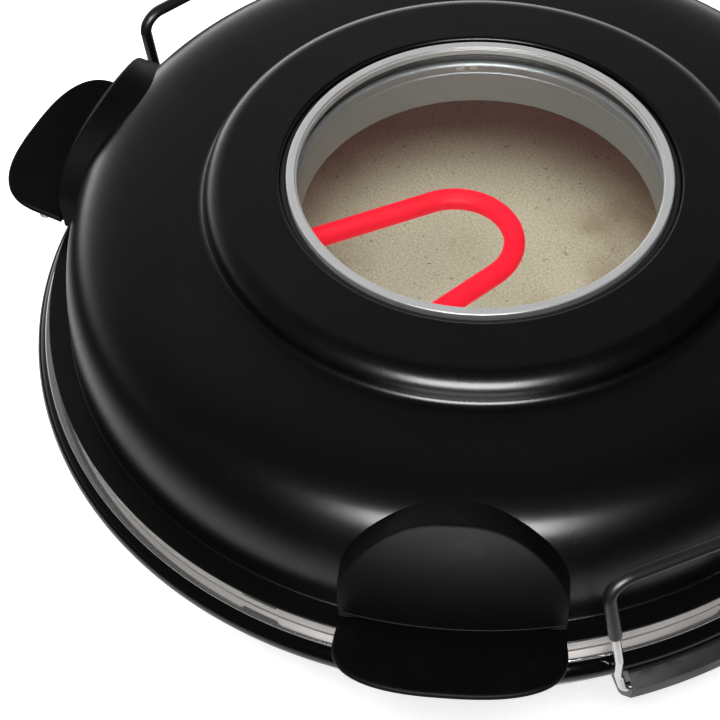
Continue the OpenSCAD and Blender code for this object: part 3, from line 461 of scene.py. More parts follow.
def mix_color(tree, factor, a, b):
    """a where factor is 0 and b where it is 1."""
    node = add(tree, "ShaderNodeMix", data_type="RGBA")
    for key, value in ((0, factor), (6, a), (7, b)):
        if isinstance(value, bpy.types.NodeSocket):
            tree.links.new(value, node.inputs[key])
        else:
            node.inputs[key].default_value = (*value, 1) if key else value
    return node.outputs[2]


def bump(tree, height, strength, distance, normal=None):
    """A bumped normal, which may build on another one."""
    values = {"Height": height, "Strength": strength, "Distance": distance}
    if normal:
        values["Normal"] = normal
    return add(tree, "ShaderNodeBump", values).outputs["Normal"]


def enamel(name, color, gloss, grain, grain_size, smudge):
    """Baked enamel on sheet steel: a fine grain, faint orange peel and wiped-over smudges."""
    material, tree, shader = new_material(name, color)
    coords = object_coords(tree)
    fine = noise(tree, coords, 1 / grain_size, 2, 0.6)
    cloudy = noise(tree, coords, 14, 4, 0.6)
    wiped = noise(tree, object_coords(tree, (1, 6, 1)), 30, 3, 0.7)
    smears = ramp(tree, wiped, 0.52, 0.75, 0, smudge)
    level = ramp(tree, cloudy, 0.3, 0.7, gloss * 0.93, gloss * 1.07)
    tree.links.new(calc(tree, "ADD", level, smears), shader.inputs["Roughness"])
    darker = tuple(0.8 * c for c in color)
    lighter = tuple(1.3 * c for c in color)
    tree.links.new(mix_color(tree, fine, darker, lighter), shader.inputs["Base Color"])
    peel = bump(tree, noise(tree, coords, 260, 1), 0.05, 0.0004)
    tree.links.new(bump(tree, fine, grain, 0.00012, peel), shader.inputs["Normal"])
    return material


def moulded(name, color, gloss, grain=0.25, grain_size=0.0006, shine=0.5):
    """Fine-grained moulded plastic or rubber, rubbed smoother and paler in places."""
    material, tree, shader = new_material(name, color, gloss, Specular_IOR_Level=shine)
    coords = object_coords(tree)
    fine = noise(tree, coords, 1 / grain_size, 3, 0.65)
    rubbed = ramp(tree, noise(tree, coords, 45, 4, 0.6), 0.5, 0.72, 0, 1)
    tree.links.new(mix_color(tree, rubbed, color, tuple(1.35 * c + 0.001 for c in color)),
                   shader.inputs["Base Color"])
    tree.links.new(ramp(tree, rubbed, 0, 1, gloss, gloss * 0.86), shader.inputs["Roughness"])
    tree.links.new(bump(tree, fine, grain, 0.00015), shader.inputs["Normal"])
    return material


def metal(name, color, gloss, streaks=0.0, around=3.0, across=2600.0, tarnish=None,
          rough_spread=0.12, bare=1.0):
    """Metal brushed around the axis by streaks, with a stain where tarnish is given. bare is the
    share of bare metal: less of it is a matt silver finish."""
    material, tree, shader = new_material(name, color, gloss, Metallic=bare)
    lines = noise(tree, polar_coords(tree, around, across, across), 1.0, 3, 0.7)
    low, high = gloss * (1 - rough_spread), gloss * (1 + rough_spread)
    tree.links.new(ramp(tree, lines, 0.25, 0.75, low, high), shader.inputs["Roughness"])
    shade = mix_color(tree, lines, tuple(0.86 * c for c in color),
                      tuple(min(1, 1.08 * c) for c in color))
    if tarnish:
        patches = ramp(tree, noise(tree, object_coords(tree), 28, 5, 0.62), 0.48, 0.74, 0, 0.8)
        shade = mix_color(tree, patches, shade, tarnish)
    tree.links.new(shade, shader.inputs["Base Color"])
    if streaks:
        tree.links.new(bump(tree, lines, streaks, 0.0001), shader.inputs["Normal"])
    return material


def polished(name, color, gloss):
    """Polished or plated steel with faint scratches."""
    material, tree, shader = new_material(name, color, gloss, Metallic=1.0)
    coords = object_coords(tree)
    scratch = noise(tree, object_coords(tree, (1, 1, 9)), 400, 3, 0.7)
    tree.links.new(ramp(tree, scratch, 0.35, 0.8, gloss, gloss * 2.6), shader.inputs["Roughness"])
    tree.links.new(mix_color(tree, ramp(tree, noise(tree, coords, 60, 3), 0.4, 0.7, 0, 0.5), color,
                             tuple(0.82 * c for c in color)), shader.inputs["Base Color"])
    tree.links.new(bump(tree, scratch, 0.03, 0.0001), shader.inputs["Normal"])
    return material


def cordierite():
    """Unglazed baking stone: a warm sandy body with pores, flecks and toasted patches."""
    material, tree, shader = new_material("cordierite_stone", roughness=0.86)
    coords = object_coords(tree)
    sand = mix_color(tree, ramp(tree, noise(tree, coords, 900, 4, 0.7), 0.3, 0.7, 0, 1),
                     (0.50, 0.40, 0.28), (0.72, 0.62, 0.47))
    flecks = ramp(tree, noise(tree, coords, 420, 2, 0.5), 0.66, 0.74, 0, 0.75)
    sand = mix_color(tree, flecks, sand, (0.20, 0.13, 0.08))
    toasted = ramp(tree, noise(tree, coords, 17, 5, 0.6), 0.48, 0.72, 0, 0.55)
    sand = mix_color(tree, toasted, sand, (0.30, 0.17, 0.08))
    tree.links.new(sand, shader.inputs["Base Color"])
    pores = add(tree, "ShaderNodeTexVoronoi", {"Vector": coords, "Scale": 650}).outputs["Distance"]
    pits = bump(tree, ramp(tree, pores, 0.05, 0.35, 0, 1), 0.5, 0.0004)
    tree.links.new(bump(tree, noise(tree, coords, 1500, 3, 0.7), 0.4, 0.0002, pits),
                   shader.inputs["Normal"])
    return material


def glowing():
    """The heater's steel sheath at red heat: it glows, and its red base colour paints the same glow
    in where lamps light it.
    """
    material, tree, shader = new_material(
        "glowing_sheath", (0.60, 0.004, 0.016), 0.40, Emission_Strength=0.78,
        Specular_IOR_Level=0.12)
    coords = object_coords(tree)
    heat = ramp(tree, noise(tree, coords, 55, 3, 0.6), 0.3, 0.7, 0, 1)
    tree.links.new(mix_color(tree, heat, (0.88, 0.004, 0.022), (1.0, 0.006, 0.030)),
                   shader.inputs["Emission Color"])
    # painted glow: this red base colour stands in for the sheath's glow, not for its own colour
    tree.links.new(mix_color(tree, heat, (0.56, 0.003, 0.014), (0.68, 0.005, 0.020)),
                   shader.inputs["Base Color"])
    tree.links.new(bump(tree, noise(tree, coords, 1400, 3, 0.6), 0.12, 0.00015),
                   shader.inputs["Normal"])
    return material


def window_pane():
    """Thin clear glass: lamps reach through it, and only its gloss shows."""
    material, tree, shader = new_material(
        "window_glass", (0.93, 0.97, 0.96), 0.015, Transmission_Weight=1.0, IOR=1.5)
    film = noise(tree, object_coords(tree), 22, 4, 0.6)
    tree.links.new(ramp(tree, film, 0.5, 0.8, 0.012, 0.05), shader.inputs["Roughness"])
    clear = add(tree, "ShaderNodeBsdfTransparent", {"Color": (0.93, 0.96, 0.95, 1)})
    path = add(tree, "ShaderNodeLightPath")
    unseen = calc(tree, "MAXIMUM", path.outputs["Is Shadow Ray"], path.outputs["Is Diffuse Ray"])
    mixer = add(tree, "ShaderNodeMixShader", {0: unseen, 1: shader.outputs[0], 2: clear.outputs[0]})
    tree.links.new(mixer.outputs[0], tree.nodes["Material Output"].inputs["Surface"])
    return material


lid_paint = enamel("satin_black_enamel", (0.0013, 0.0013, 0.0014), 0.28, 0.10, 0.0007, 0.03)
base_paint = enamel("gloss_black_enamel", (0.0018, 0.0018, 0.0018), 0.07, 0.02, 0.0009, 0.02)
handle_plastic = moulded("handle_thermoset", (0.0010, 0.0010, 0.0011), 0.55, shine=0.12)
black_plastic = moulded("black_thermoset", (0.011, 0.011, 0.011), 0.42)
sleeve_black = moulded("grip_sleeve", (0.008, 0.008, 0.008), 0.36, 0.12, 0.0010)
rubber = moulded("black_rubber", (0.006, 0.006, 0.006), 0.62, 0.2, 0.0009)
ring_metal = metal("satin_silver", (0.46, 0.46, 0.46), 0.40, 0.05, 3.0, 1400.0, bare=0.35)
skirt_metal = metal("brushed_steel", (0.58, 0.56, 0.54), 0.42, 0.35, 900.0, 60.0, bare=0.55)
sleeve_metal = metal("greyed_steel", (0.31, 0.31, 0.32), 0.42, 0.06, 2.0, 1800.0, bare=0.6)
liner_metal = metal("aluminised_sheet", (0.60, 0.61, 0.62), 0.30, 0.06, 4.0, 900.0,
                    tarnish=(0.36, 0.29, 0.20))
lip_metal = metal("bright_lip", (0.82, 0.81, 0.80), 0.13, 0.03, 3.0, 1400.0, bare=0.93)
bail_metal = polished("polished_wire", (0.74, 0.73, 0.72), 0.10)
screw_metal = polished("plated_screw", (0.62, 0.62, 0.63), 0.16)
clip_metal = metal("strip_steel", (0.55, 0.55, 0.56), 0.28)
sheath_brown = metal("heater_sheath", (0.16, 0.11, 0.09), 0.42, 0.10, 8.0, 900.0,
                     tarnish=(0.07, 0.05, 0.06))
stone = cordierite()
glow = glowing()
pane = window_pane()
ceramic = moulded("steatite", (0.72, 0.69, 0.62), 0.38, 0.15, 0.0008)
phenolic = moulded("phenolic", (0.030, 0.022, 0.018), 0.30, 0.10, 0.0008)
braid = moulded("glass_braid", (0.70, 0.68, 0.62), 0.75, 0.6, 0.0005)
cover_paint = enamel("matt_black_paint", (0.020, 0.020, 0.021), 0.52, 0.25, 0.0008, 0.05)


# ---- Camera, stage and lights ----

CAMERA_AZIMUTH, CAMERA_ELEVATION, CAMERA_ROLL = 60.8, 49.819, -2.206
CAMERA_AT = (0.43812, -0.31664, 0.62974)
FRAME_PX = 720
FOCAL_PX = 1941.77
SENSOR_MM = 36.0
AIM_Z = 0.06                      # where the lamps point, in metres
BRIGHT_AZIMUTH = -165             # the middle of the bright horizon, from the camera's side
BRIGHT_SPREAD = (5.0, -4.7)       # how it fades sideways
BRIGHT_FALL = math.radians(-13)   # how it fades upwards
BRIGHT_LIGHT, ROOM_LIGHT, BACKDROP_LIGHT = 3.6, 0.03, 1.05
FLOOR_R, FLOOR_GLOW = 6.0, 0.75
CARD_R, CARD_DROP = 0.6, 0.0005
CARD_FADE = (0.195, 0.28)         # the card is bright within the first radius
CARD_LIGHT = (0.9, 0.03)


def look(azimuth, elevation, roll):
    """A camera's turn: at azimuth 0 it looks along +Y."""
    e, r = math.radians(elevation), math.radians(roll)
    back = Vector((0, -math.cos(e), math.sin(e)))
    level = Vector((1, 0, 0))
    up = back.cross(level)
    right = level * math.cos(r) + up * math.sin(r)
    over = -level * math.sin(r) + up * math.cos(r)
    turn = turned_about(azimuth)
    return Matrix([turn @ right, turn @ over, turn @ back]).transposed()


def add_camera():
    """The camera that was fitted to the circles of the photograph."""
    data = bpy.data.cameras.new("camera")
    data.sensor_width = SENSOR_MM
    data.lens = FOCAL_PX / FRAME_PX * data.sensor_width
    data.clip_start, data.clip_end = 0.01, 30.0
    camera = bpy.data.objects.new("camera", data)
    camera.matrix_world = Matrix.Translation(CAMERA_AT) @ look(
        CAMERA_AZIMUTH, CAMERA_ELEVATION, CAMERA_ROLL).to_4x4()
    bpy.context.scene.collection.objects.link(camera)
    bpy.context.scene.camera = camera


def polar(azimuth, elevation, distance):
    """A place seen from the body at an azimuth from the camera's side, positive to its right."""
    a = math.radians(-90 + CAMERA_AZIMUTH + azimuth)
    e = math.radians(elevation)
    return Vector((distance * math.cos(e) * math.cos(a),
                   distance * math.cos(e) * math.sin(a) + axis_y * MM, distance * math.sin(e)))


def add_light(name, azimuth, elevation, distance, width, height, power, seen=False):
    """A soft rectangular lamp that faces the body. A seen one shows in reflections only."""
    data = bpy.data.lights.new(name, "AREA")
    data.shape, data.size, data.size_y, data.energy = "RECTANGLE", width, height, power
    lamp = bpy.data.objects.new(name, data)
    lamp.location = polar(azimuth, elevation, distance)
    aim = Vector((0, axis_y * MM, AIM_Z)) - lamp.location
    lamp.rotation_euler = aim.to_track_quat("-Z", "Y").to_euler()
    lamp.visible_glossy = lamp.visible_transmission = seen
    lamp.visible_diffuse = not seen
    bpy.context.scene.collection.objects.link(lamp)


def add_world():
    """A soft dark room with a bright low horizon behind the object."""
    world = bpy.data.worlds.new("studio")
    world.use_nodes = True
    bpy.context.scene.world = world
    tree = world.node_tree
    direction = add(tree, "ShaderNodeTexCoord").outputs["Generated"]
    flat = add(tree, "ShaderNodeVectorMath", {0: direction, 1: (1, 1, 0)}, operation="MULTIPLY")
    level = add(tree, "ShaderNodeVectorMath", {0: flat.outputs[0]}, operation="NORMALIZE")
    bright_way = polar(BRIGHT_AZIMUTH, 0, 1.0) - Vector((0, axis_y * MM, 0))
    toward = add(tree, "ShaderNodeVectorMath", {0: level.outputs[0], 1: bright_way},
                 operation="DOT_PRODUCT").outputs["Value"]
    swept = calc(tree, "POWER", math.e, calc(tree, "MULTIPLY_ADD", toward, *BRIGHT_SPREAD))
    height = add(tree, "ShaderNodeSeparateXYZ", {0: direction}).outputs["Z"]
    rise = calc(tree, "ARCSINE", calc(tree, "ABSOLUTE", height))
    fallen = calc(tree, "POWER", math.e, calc(tree, "DIVIDE", rise, BRIGHT_FALL))
    horizon = calc(tree, "MULTIPLY", calc(tree, "MINIMUM", swept, 1.0), fallen)
    room = calc(tree, "MULTIPLY_ADD", horizon, BRIGHT_LIGHT, ROOM_LIGHT)
    seen = add(tree, "ShaderNodeLightPath").outputs["Is Camera Ray"]
    strength = add(tree, "ShaderNodeMix", {0: seen, 2: room, 3: BACKDROP_LIGHT},
                   data_type="FLOAT").outputs[0]
    tree.links.new(strength, tree.nodes["Background"].inputs["Strength"])
    tree.nodes["Background"].inputs["Color"].default_value = (1, 1, 1, 1)


def add_floor():
    """A pale floor, with a bright card on it that only reflections show."""
    def disc(name, radius, z, material):
        mesh = bpy.data.meshes.new(name)
        bm = bmesh.new()
        bmesh.ops.create_circle(bm, cap_ends=True, segments=96, radius=radius)
        bm.to_mesh(mesh)
        bm.free()
        mesh.materials.append(material)
        piece = bpy.data.objects.new(name, mesh)
        piece.location = (0, axis_y * MM, z)
        bpy.context.scene.collection.objects.link(piece)
        return piece

    matt, tree, shader = new_material("pale_floor", roughness=0.9, Emission_Strength=FLOOR_GLOW)
    shader.inputs["Emission Color"].default_value = (1, 1, 1, 1)
    tree.links.new(mix_color(tree, noise(tree, object_coords(tree), 3, 3), (0.85, 0.85, 0.85),
                             (0.88, 0.88, 0.88)), shader.inputs["Base Color"])
    floor = disc("floor", FLOOR_R, 0.0, matt)
    floor.visible_glossy = False
    card, tree, shader = new_material("floor_card", (0, 0, 0), 1.0)
    glow_node = add(tree, "ShaderNodeEmission")
    coords = add(tree, "ShaderNodeTexCoord").outputs["Object"]
    far = add(tree, "ShaderNodeVectorMath", {0: coords}, operation="LENGTH").outputs["Value"]
    tree.links.new(ramp(tree, far, *CARD_FADE, *CARD_LIGHT), glow_node.inputs["Strength"])
    tree.links.new(glow_node.outputs[0], tree.nodes["Material Output"].inputs["Surface"])
    shine = disc("floor_card", CARD_R, -CARD_DROP, card)
    shine.visible_camera = shine.visible_diffuse = shine.visible_shadow = False
    shine.visible_transmission = False


add_camera()
add_world()
add_floor()
bpy.context.scene.view_settings.view_transform = "Standard"
# Each lamp's azimuth, elevation, distance, width, height and power
add_light("overhead", 0, 80, 1.6, 1.4, 1.4, 29)
add_light("left_fill", -110, 40, 1.5, 1.2, 1.0, 12)
add_light("front_softbox", -7, 30, 1.2, 0.8, 0.5, 26, seen=True)


# ---- Lid ----

def dome_line(n=72):
    """The dome from the foot of the panel's step out and down to the crease."""
    raw, fine = [], 1200
    for i in range(fine + 1):
        a = math.pi / 2 * i / fine
        raw.append((DOME_IN_R + (DOME_R - DOME_IN_R) * math.sin(a) ** (2 / CROWN_POWER),
                    CREASE_Z + (CROWN_Z - CREASE_Z) * max(0.0, math.cos(a)) ** (2 / SHOULDER_POWER)))
    return evenly(raw, n)


def dome_radius(z):
    """The dome's outer radius at a height."""
    share = min(1.0, max(0.0, (z - CREASE_Z) / (CROWN_Z - CREASE_Z)))
    a = math.acos(share ** (SHOULDER_POWER / 2))
    return DOME_IN_R + (DOME_R - DOME_IN_R) * math.sin(a) ** (2 / CROWN_POWER)


def lid_outside():
    """From the glass seat out over the panel, down its rolled step and over the dome."""
    roll_c = (PANEL_R - PANEL_ROLL, PANEL_Z - PANEL_ROLL)
    foot_c = (PANEL_R + STEP_FILLET, CROWN_Z + STEP_FILLET)
    inner = rounded([(RECESS_R - SEAT_W, SEAT_Z), (RECESS_R, SEAT_Z), (RECESS_R, PANEL_Z),
                     (roll_c[0] - 1, PANEL_Z)], [0, 0.9, 1.4, 0], steps=8)
    inner += arc(roll_c, PANEL_ROLL, 90, STEP_LEAN, 16)
    inner += arc(foot_c, STEP_FILLET, 180 + STEP_LEAN, 264, 8)
    flange = rounded([(DOME_R, CREASE_Z + 0.6), (DOME_R + 0.1, FLANGE_Z), (FLANGE_R, FLANGE_Z),
                      (FLANGE_R, FLANGE_Z - 0.8)], [0, 1.0, 0.5, 0], steps=5)
    return inner + dome_line()[:-1] + flange


dress(lathe("lid_enamel", sheet_profile(lid_outside(), -WALL)), lid_paint, "lid", "lid_enamel",
      "lid_shell")

NOTCHES, NOTCH_W, NOTCH_H, NOTCH_SLOPE = 6, 17.0, 3.2, 1.6


def notch_share(angle):
    """How far the skirt is cut at an angle: 0 outside a notch and 1 along its floor."""
    pitch = 360 / NOTCHES
    off = (math.degrees(angle) + 90) % pitch - pitch / 2
    reach = abs(math.radians(off)) * SKIRT_R
    return min(1.0, max(0.0, (NOTCH_W / 2 - reach) / NOTCH_SLOPE))


def skirt_band():
    """The brushed strip under the flange, with vent notches along its top."""
    line = evenly([(SKIRT_R - 1.4, SKIRT_TOP), (SKIRT_R - 0.35, SKIRT_TOP - 0.35),
                   (SKIRT_R, SKIRT_TOP - 1.0), (SKIRT_R, SKIRT_LOW + 0.2)], 14)
    profile = sheet_profile(line, -0.6)

    def cut(angle, p):
        floor = SKIRT_TOP - NOTCH_H * notch_share(angle)
        return (min(p[0], SKIRT_R), min(p[1], floor))

    return lathe("skirt_band", profile, turns=1080, shape=cut)


dress(skirt_band(), skirt_metal, "lid", "brushed_skirt", "steel_skirt")

ring_section = rounded([
    (VIEW_R, RING_TOP - 1.0), (VIEW_R + 0.55, RING_TOP - 0.75), (VIEW_R + 0.75, RING_TOP),
    (RING_R, RING_TOP), (RING_R, RING_TOP - 3.4), (RING_R - 1, RING_TOP - 3.4),
    (RING_R - 1, RING_TOP - 1.5), (VIEW_R + 1, RING_TOP - 1.5), (VIEW_R + 1, RING_TOP - 3.4),
    (VIEW_R, RING_TOP - 3.4)], [0.2, 0.15, 0.3, 0.7, 0.2, 0.2, 0.2, 0.2, 0.2, 0.2], closed=True)
dress(lathe("window_bezel", ring_section), ring_metal, "lid", "satin_ring", "window_ring")

gasket_section = rounded([
    (RECESS_R - SEAT_W, SEAT_Z + 0.1), (RECESS_R - 0.1, SEAT_Z + 0.1),
    (RECESS_R - 0.1, GLASS_TOP + 1.1), (RING_R + 0.1, GLASS_TOP + 1.1),
    (RING_R + 0.1, GLASS_TOP - GLASS_T - 0.05), (RECESS_R - SEAT_W, GLASS_TOP - GLASS_T - 0.05)],
    [0.4, 0.1, 0.9, 0.9, 0.1, 0.5], closed=True)
dress(lathe("glass_gasket", gasket_section), rubber, "lid", "gasket_rubber", "window_gasket")

pane_r = RING_R - 0.2
pane_section = rounded([(0, GLASS_TOP - GLASS_T), (pane_r, GLASS_TOP - GLASS_T),
                        (pane_r, GLASS_TOP), (0, GLASS_TOP)], [0, 0.5, 0.5, 0], closed=True)
dress(lathe("glass_pane", pane_section), pane, "lid", "window_glass", "window_glass")

collar_line = rounded([(COLLAR_R + 8, COLLAR_TOP - SHEET), (COLLAR_R, COLLAR_TOP - SHEET),
                       (COLLAR_R, SLEEVE_TOP)], [0, 0.9, 0])
dress(lathe("glass_collar", sheet_profile(collar_line, -SHEET)), sleeve_metal, "lid",
      "sleeve_steel", "sleeve_collar")
sleeve_line = rounded([(COLLAR_R + SHEET, SLEEVE_TOP - 0.1), (SLEEVE_R + 0.5, SLEEVE_TOP - 0.1),
                       (SLEEVE_R, SLEEVE_TOP - 0.6), (SLEEVE_R, SLEEVE_LOW + 0.9),
                       (SLEEVE_R + 0.6, SLEEVE_LOW)], [0, 0.3, 0.3, 0.5, 0])
dress(lathe("light_sleeve", sheet_profile(sleeve_line, SHEET - 0.1)), sleeve_metal, "lid",
      "sleeve_steel", "window_sleeve")

JOINT_AT = -90 + CAMERA_AZIMUTH + 180      # the collar's lap joint, behind the window


def lap_joint():
    """The collar's lap plate, with its two folded tabs."""
    def plate(around, width, z0, z1, depth):
        half = math.degrees(width / COLLAR_R / 2)
        line = [(COLLAR_R - depth, z0), (COLLAR_R + 0.1, z0), (COLLAR_R + 0.1, z1),
                (COLLAR_R - depth, z1)]
        verts, rows = [], 13
        for k in range(rows):
            a = math.radians(JOINT_AT + around - half + 2 * half * k / (rows - 1))
            verts += [(r * math.cos(a), r * math.sin(a), z) for r, z in line]
        return verts, ring_faces(rows, 4)

    return joined(plate(0, 26, SLEEVE_TOP + 0.6, COLLAR_TOP - 1.2, 0.7),
                  plate(-2.2, 3.4, SLEEVE_TOP + 1.2, COLLAR_TOP - 1.8, 1.2),
                  plate(2.2, 3.4, SLEEVE_TOP + 1.2, COLLAR_TOP - 1.8, 1.2))


dress(add_mesh("collar_joint", *lap_joint()), clip_metal, "lid", "sleeve_steel")

liner_foot = Vector((SKIRT_R - 3.0, SKIRT_TOP - SHEET - 0.1))
liner_line = rounded([
    (SLEEVE_R + 1, LINER_Z - SHEET), (UPPER_RING_R + 12, LINER_Z - SHEET),
    (UPPER_RING_R + 22, LINER_Z - SHEET - 3), (UPPER_RING_R + 31, LINER_Z - SHEET - 10),
    liner_foot + Vector((-12, 14)), liner_foot + Vector((-8, 3)), liner_foot + Vector((-6, -SHEET)),
    liner_foot + Vector((0, -SHEET))], [0, 8, 8, 8, 8, 3, 1, 0])
dress(lathe("liner_sheet", sheet_profile(liner_line, SHEET)), liner_metal, "lid", "pan_steel",
      "lid_liner")


def heater_half():
    """The upper heater's right half, from the hairpin's tip to the end of its upright leg."""
    splay = math.radians(HAIRPIN_SPLAY)
    away = Vector((math.sin(splay), -math.cos(splay)))
    out = Vector((math.cos(splay), math.sin(splay)))
    line = arc((0, HAIRPIN_Y), HAIRPIN_R, 90, HAIRPIN_SPLAY, 20)
    bend_from = Vector((0, HAIRPIN_Y)) + (HAIRPIN_R + LEG_BEND_R) * out
    along = bend_from.dot(away)
    length = -along + math.sqrt(along ** 2 - bend_from.length_squared
                                + (UPPER_RING_R - LEG_BEND_R) ** 2)
    bend_c = bend_from + length * away
    ring_start = math.degrees(math.atan2(bend_c.y, bend_c.x))
    line += arc(bend_c, LEG_BEND_R, 180 + HAIRPIN_SPLAY, 360 + ring_start, 40)
    rise = LINER_Z - SHEET / 2 - UPPER_Z
    ring_end = 90 - math.degrees(math.asin(HEATER_END_X / math.hypot(UPPER_RING_R, rise))
                                 + math.atan2(rise, UPPER_RING_R))
    line += arc((0, 0), UPPER_RING_R, ring_start, ring_end, 70)[1:]
    line = [Vector((x, y, UPPER_Z)) for x, y in line]
    onward = turned_about(ring_end) @ Vector((0, 1, 0))
    for k in range(1, 9):
        a = math.radians(90 * k / 8)
        line.append(line[-k] + onward * rise * math.sin(a)
                    + Vector((0, 0, rise * (1 - math.cos(a)))))
    return line + [Vector((line[-1].x, line[-1].y, LINER_Z + LEG_RISE))]


right_half = heater_half()
left_half = [Vector((-p.x, p.y, p.z)) for p in right_half[:0:-1]]
red_heater = add_mesh("red_heater", *tube(left_half + right_half, UPPER_TUBE_R, sides=28,
                                          end_round=0.8))
red_heater.visible_diffuse = False         # its glow doesn't tint the sleeve and the stone
dress(red_heater, glow, "lid", "glowing_heater", "upper_heater")


# ---- Handles ----

face_chord = ARCH_TOP - SEAM
face_rad = ((face_chord.length / 2) ** 2 + FACE_BULGE ** 2) / (2 * FACE_BULGE)
face_c = SEAM + face_chord / 2 - Vector((face_chord.y, -face_chord.x)).normalized() * (
    face_rad - FACE_BULGE)


def face_r(z):
    """The radius of the pad's bulging outer face at a height."""
    return SEAM.x if z < SEAM.y else face_c.x + math.sqrt(face_rad ** 2 - (z - face_c.y) ** 2)


def handle_pad():
    """The arched pad: an upright outline whose faces are turned about the lid's axis."""
    outline = [(-PAD_HALF_W, SEAM.y - PADDLE_T)]
    for k in range(61):
        s = -math.cos(math.pi * k / 60)
        rise = max(0.0, 1 - abs(s) ** ARCH_FLANK) ** (1 / ARCH_ROUND)
        outline.append((PAD_HALF_W * s, ARCH_SIDE_Z + (ARCH_TOP.y - ARCH_SIDE_Z) * rise))
    outline.append((PAD_HALF_W, SEAM.y - PADDLE_T))

    def inner(p):
        return max(ARCH_TOP.x - PAD_DEPTH, dome_radius(min(p.y, CROWN_Z - 0.3)) - 0.5)

    def place(y, z, r):
        fall = PAD_SLOPE[0] * max(0.0, ARCH_TOP.x - r) / PAD_SLOPE[1]
        return (math.sqrt(r * r - y * y), y, z - fall)

    return slab(even_loop(outline, 200), (0, SEAM.y + 14), lambda p: face_r(p.y), inner, 0.9, 0.1,
                rings=14, place=place)


def handle_paddle():
    """The paddle: it rises outwards from the seam and ends in a rounded edge."""
    slope = (PADDLE_TIP.y - SEAM.y) / (PADDLE_TIP.x - SEAM.x)
    middle = SEAM.x + 9.5
    outline = [(SEAM.x - 3, PADDLE_HALF_W - 1)]
    for k in range(61):
        a = math.pi * k / 60
        reach, across = (abs(share) ** (2 / PADDLE_ROUND) for share in (math.sin(a), math.cos(a)))
        outline.append((middle + reach * (PADDLE_TIP.x - middle),
                        math.copysign(PADDLE_HALF_W * across, math.cos(a))))
    outline.append((SEAM.x - 3, 1 - PADDLE_HALF_W))

    def top(p):
        return SEAM.y + slope * (p.length - SEAM.x)

    return slab(even_loop(outline, 180), (SEAM.x + 12, 0), top, lambda p: top(p) - PADDLE_T, 1.3,
                rings=12, place=lambda x, y, z: (x, y, z))


def seam_bead():
    """The fine moulded line where the pad meets the paddle."""
    half = math.degrees(math.asin((PAD_HALF_W - 0.6) / SEAM.x))
    line = [Vector((x, y, SEAM.y + 0.3)) for x, y in arc((0, 0), SEAM.x, -half, half, 40)]
    return tube(line, 0.4, sides=12, end_round=0.3)


for side, name in ((1, "right"), (-1, "left")):
    handle = moved(joined(handle_pad(), handle_paddle(), seam_bead()), at_side(side, HANDLE_ANGLE))
    dress(add_mesh("lid_handle_" + name, *handle), handle_plastic, "lid", "handle_plastic",
          "handle_" + name)


# ---- Base ----

base_line = [Vector((BOTTOM_R - 19, SHELL_Z))]
base_line += arc((BOTTOM_R - 5, SHELL_Z + 5), 5, -90, -20, 8)
base_line += rounded([base_line[-1], (BEAD_AT[0] - 0.7, BEAD_AT[1] - BEAD_RAD - 0.2),
                      (BEAD_AT[0] + BEAD_RAD / 2, BEAD_AT[1] - 0.866 * BEAD_RAD)], 1.5)[1:-1]
base_line += arc(BEAD_AT, BEAD_RAD, -60, 90, 24) + [(BEAD_AT[0] - 3.5, BEAD_AT[1] + BEAD_RAD)]
dress(lathe("base_enamel_shell", sheet_profile(base_line, WALL)), base_paint, "base", "base_enamel",
      "base_shell")

pan_line = arc((RIM_R - LIP_RAD, RIM_Z - LIP_RAD), LIP_RAD, 0, 90, 6)
pan_line += arc((RIM_R - 4 - LIP_IN_RAD, RIM_Z - LIP_IN_RAD), LIP_IN_RAD, 90, 145, 8)
pan_line += rounded([
    pan_line[-1], (PAN_R + 4, LEDGE_Z + 3.2), (PAN_R - 0.4, LEDGE_Z), (LEDGE_R + 1, LEDGE_Z),
    (LEDGE_R - 2, WELL_Z), (0, WELL_Z)], [0, 3, 2, 1.5, 2.5, 0])[1:]
dress(lathe("pan_sheet", sheet_profile(pan_line, SHEET)), lip_metal, "base", "pan_steel",
      "lower_pan")

stone_z = LEDGE_Z + 0.1
stone_section = rounded([(0, stone_z), (STONE_R, stone_z), (STONE_R, stone_z + STONE_T),
                         (0, stone_z + STONE_T)], [0, 1.0, 1.6, 0], closed=True)
dress(lathe("pizza_stone", stone_section), stone, "base", "stone", "baking_stone")


# ---- Bails ----

def bail_points(s):
    """One leg's corners, from the pin up: out from the axis, along it and up."""
    return [Vector((RIM_R + 5, s * 15.5, PIN_Z)), Vector((RIM_R + 5, s * 26.5, PIN_Z)),
            Vector((RIM_R + 3.25, s * 28.05, RIM_Z - 6)),
            Vector((RIM_R + 4.7, s * 29.6, RIM_Z + WAIST_RISE))]


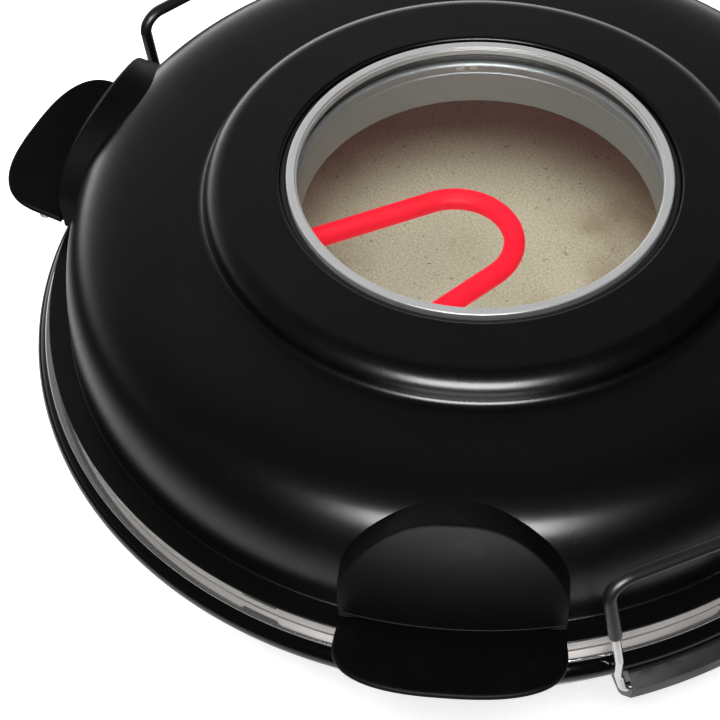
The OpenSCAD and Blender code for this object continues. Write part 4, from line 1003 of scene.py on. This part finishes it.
def bail_corner(s):
    """The corner between a leg and the crossbar."""
    return Vector((RIM_R + 0.8, s * 36, RIM_Z + BAIL_RISE))


def grip_end(s):
    """Where the insulated sleeve ends on a leg."""
    waist = bail_points(s)[3]
    share = (bail_corner(s) - waist) * (GRIP_RISE - WAIST_RISE)
    return waist + share / (BAIL_RISE - WAIST_RISE)


for side, name in ((1, "right"), (-1, "left")):
    turn = at_side(side, BAIL_ANGLE)
    corners = bail_points(-1) + [bail_corner(-1), bail_corner(1)] + bail_points(1)[::-1]
    wire = bent_line(corners, WIRE_BENDS)
    dress(add_mesh("polished_bail_" + name, *moved(tube(wire, WIRE_R, sides=20), turn)), bail_metal,
          "bail_" + name, "bail_steel", "bail_wire_" + name)
    sleeve = bent_line([grip_end(-1), bail_corner(-1), bail_corner(1), grip_end(1)], GRIP_BENDS)
    dress(add_mesh("bail_sleeve_" + name, *moved(tube(sleeve, GRIP_R, WIRE_R + 0.1), turn)),
          sleeve_black, "bail_" + name, "grip_sleeve", "bail_grip_" + name)


# ---- Moulded and turned pieces that keep the CAD's form ----

softened("rear_housing", "hinge_housing", black_plastic, "base", "black_plastic", 0.9)
softened("rear_arm", "hinge_arm", black_plastic, "lid", "black_plastic", 1.0)
for name in ("right", "left"):
    softened("bail_bearing_" + name, "bail_block_" + name, black_plastic, "base", "black_plastic",
             0.6)
softened("rubber_feet", "feet", rubber, "base", "foot_rubber", 0.7)
softened("cord_bush", "cord_gland", rubber, "base", "gland_rubber", 0.5)

for cad_name, material in {
    "bottom_cover": cover_paint, "cover_screws": screw_metal, "lower_heater": sheath_brown,
    "lower_heater_clips": clip_metal, "lower_terminals": ceramic, "thermostat": phenolic,
    "thermal_fuse": ceramic, "terminal_block": ceramic, "base_wiring": braid,
    "hinge_pin": screw_metal, "housing_screws": screw_metal, "bail_block_screws": screw_metal,
    "upper_heater_clips": clip_metal, "upper_terminals": ceramic, "lid_wiring": braid,
    "handle_screws": screw_metal, "arm_screws": screw_metal,
}.items():
    nodes[cad_name].data.materials.clear()
    nodes[cad_name].data.materials.append(material)
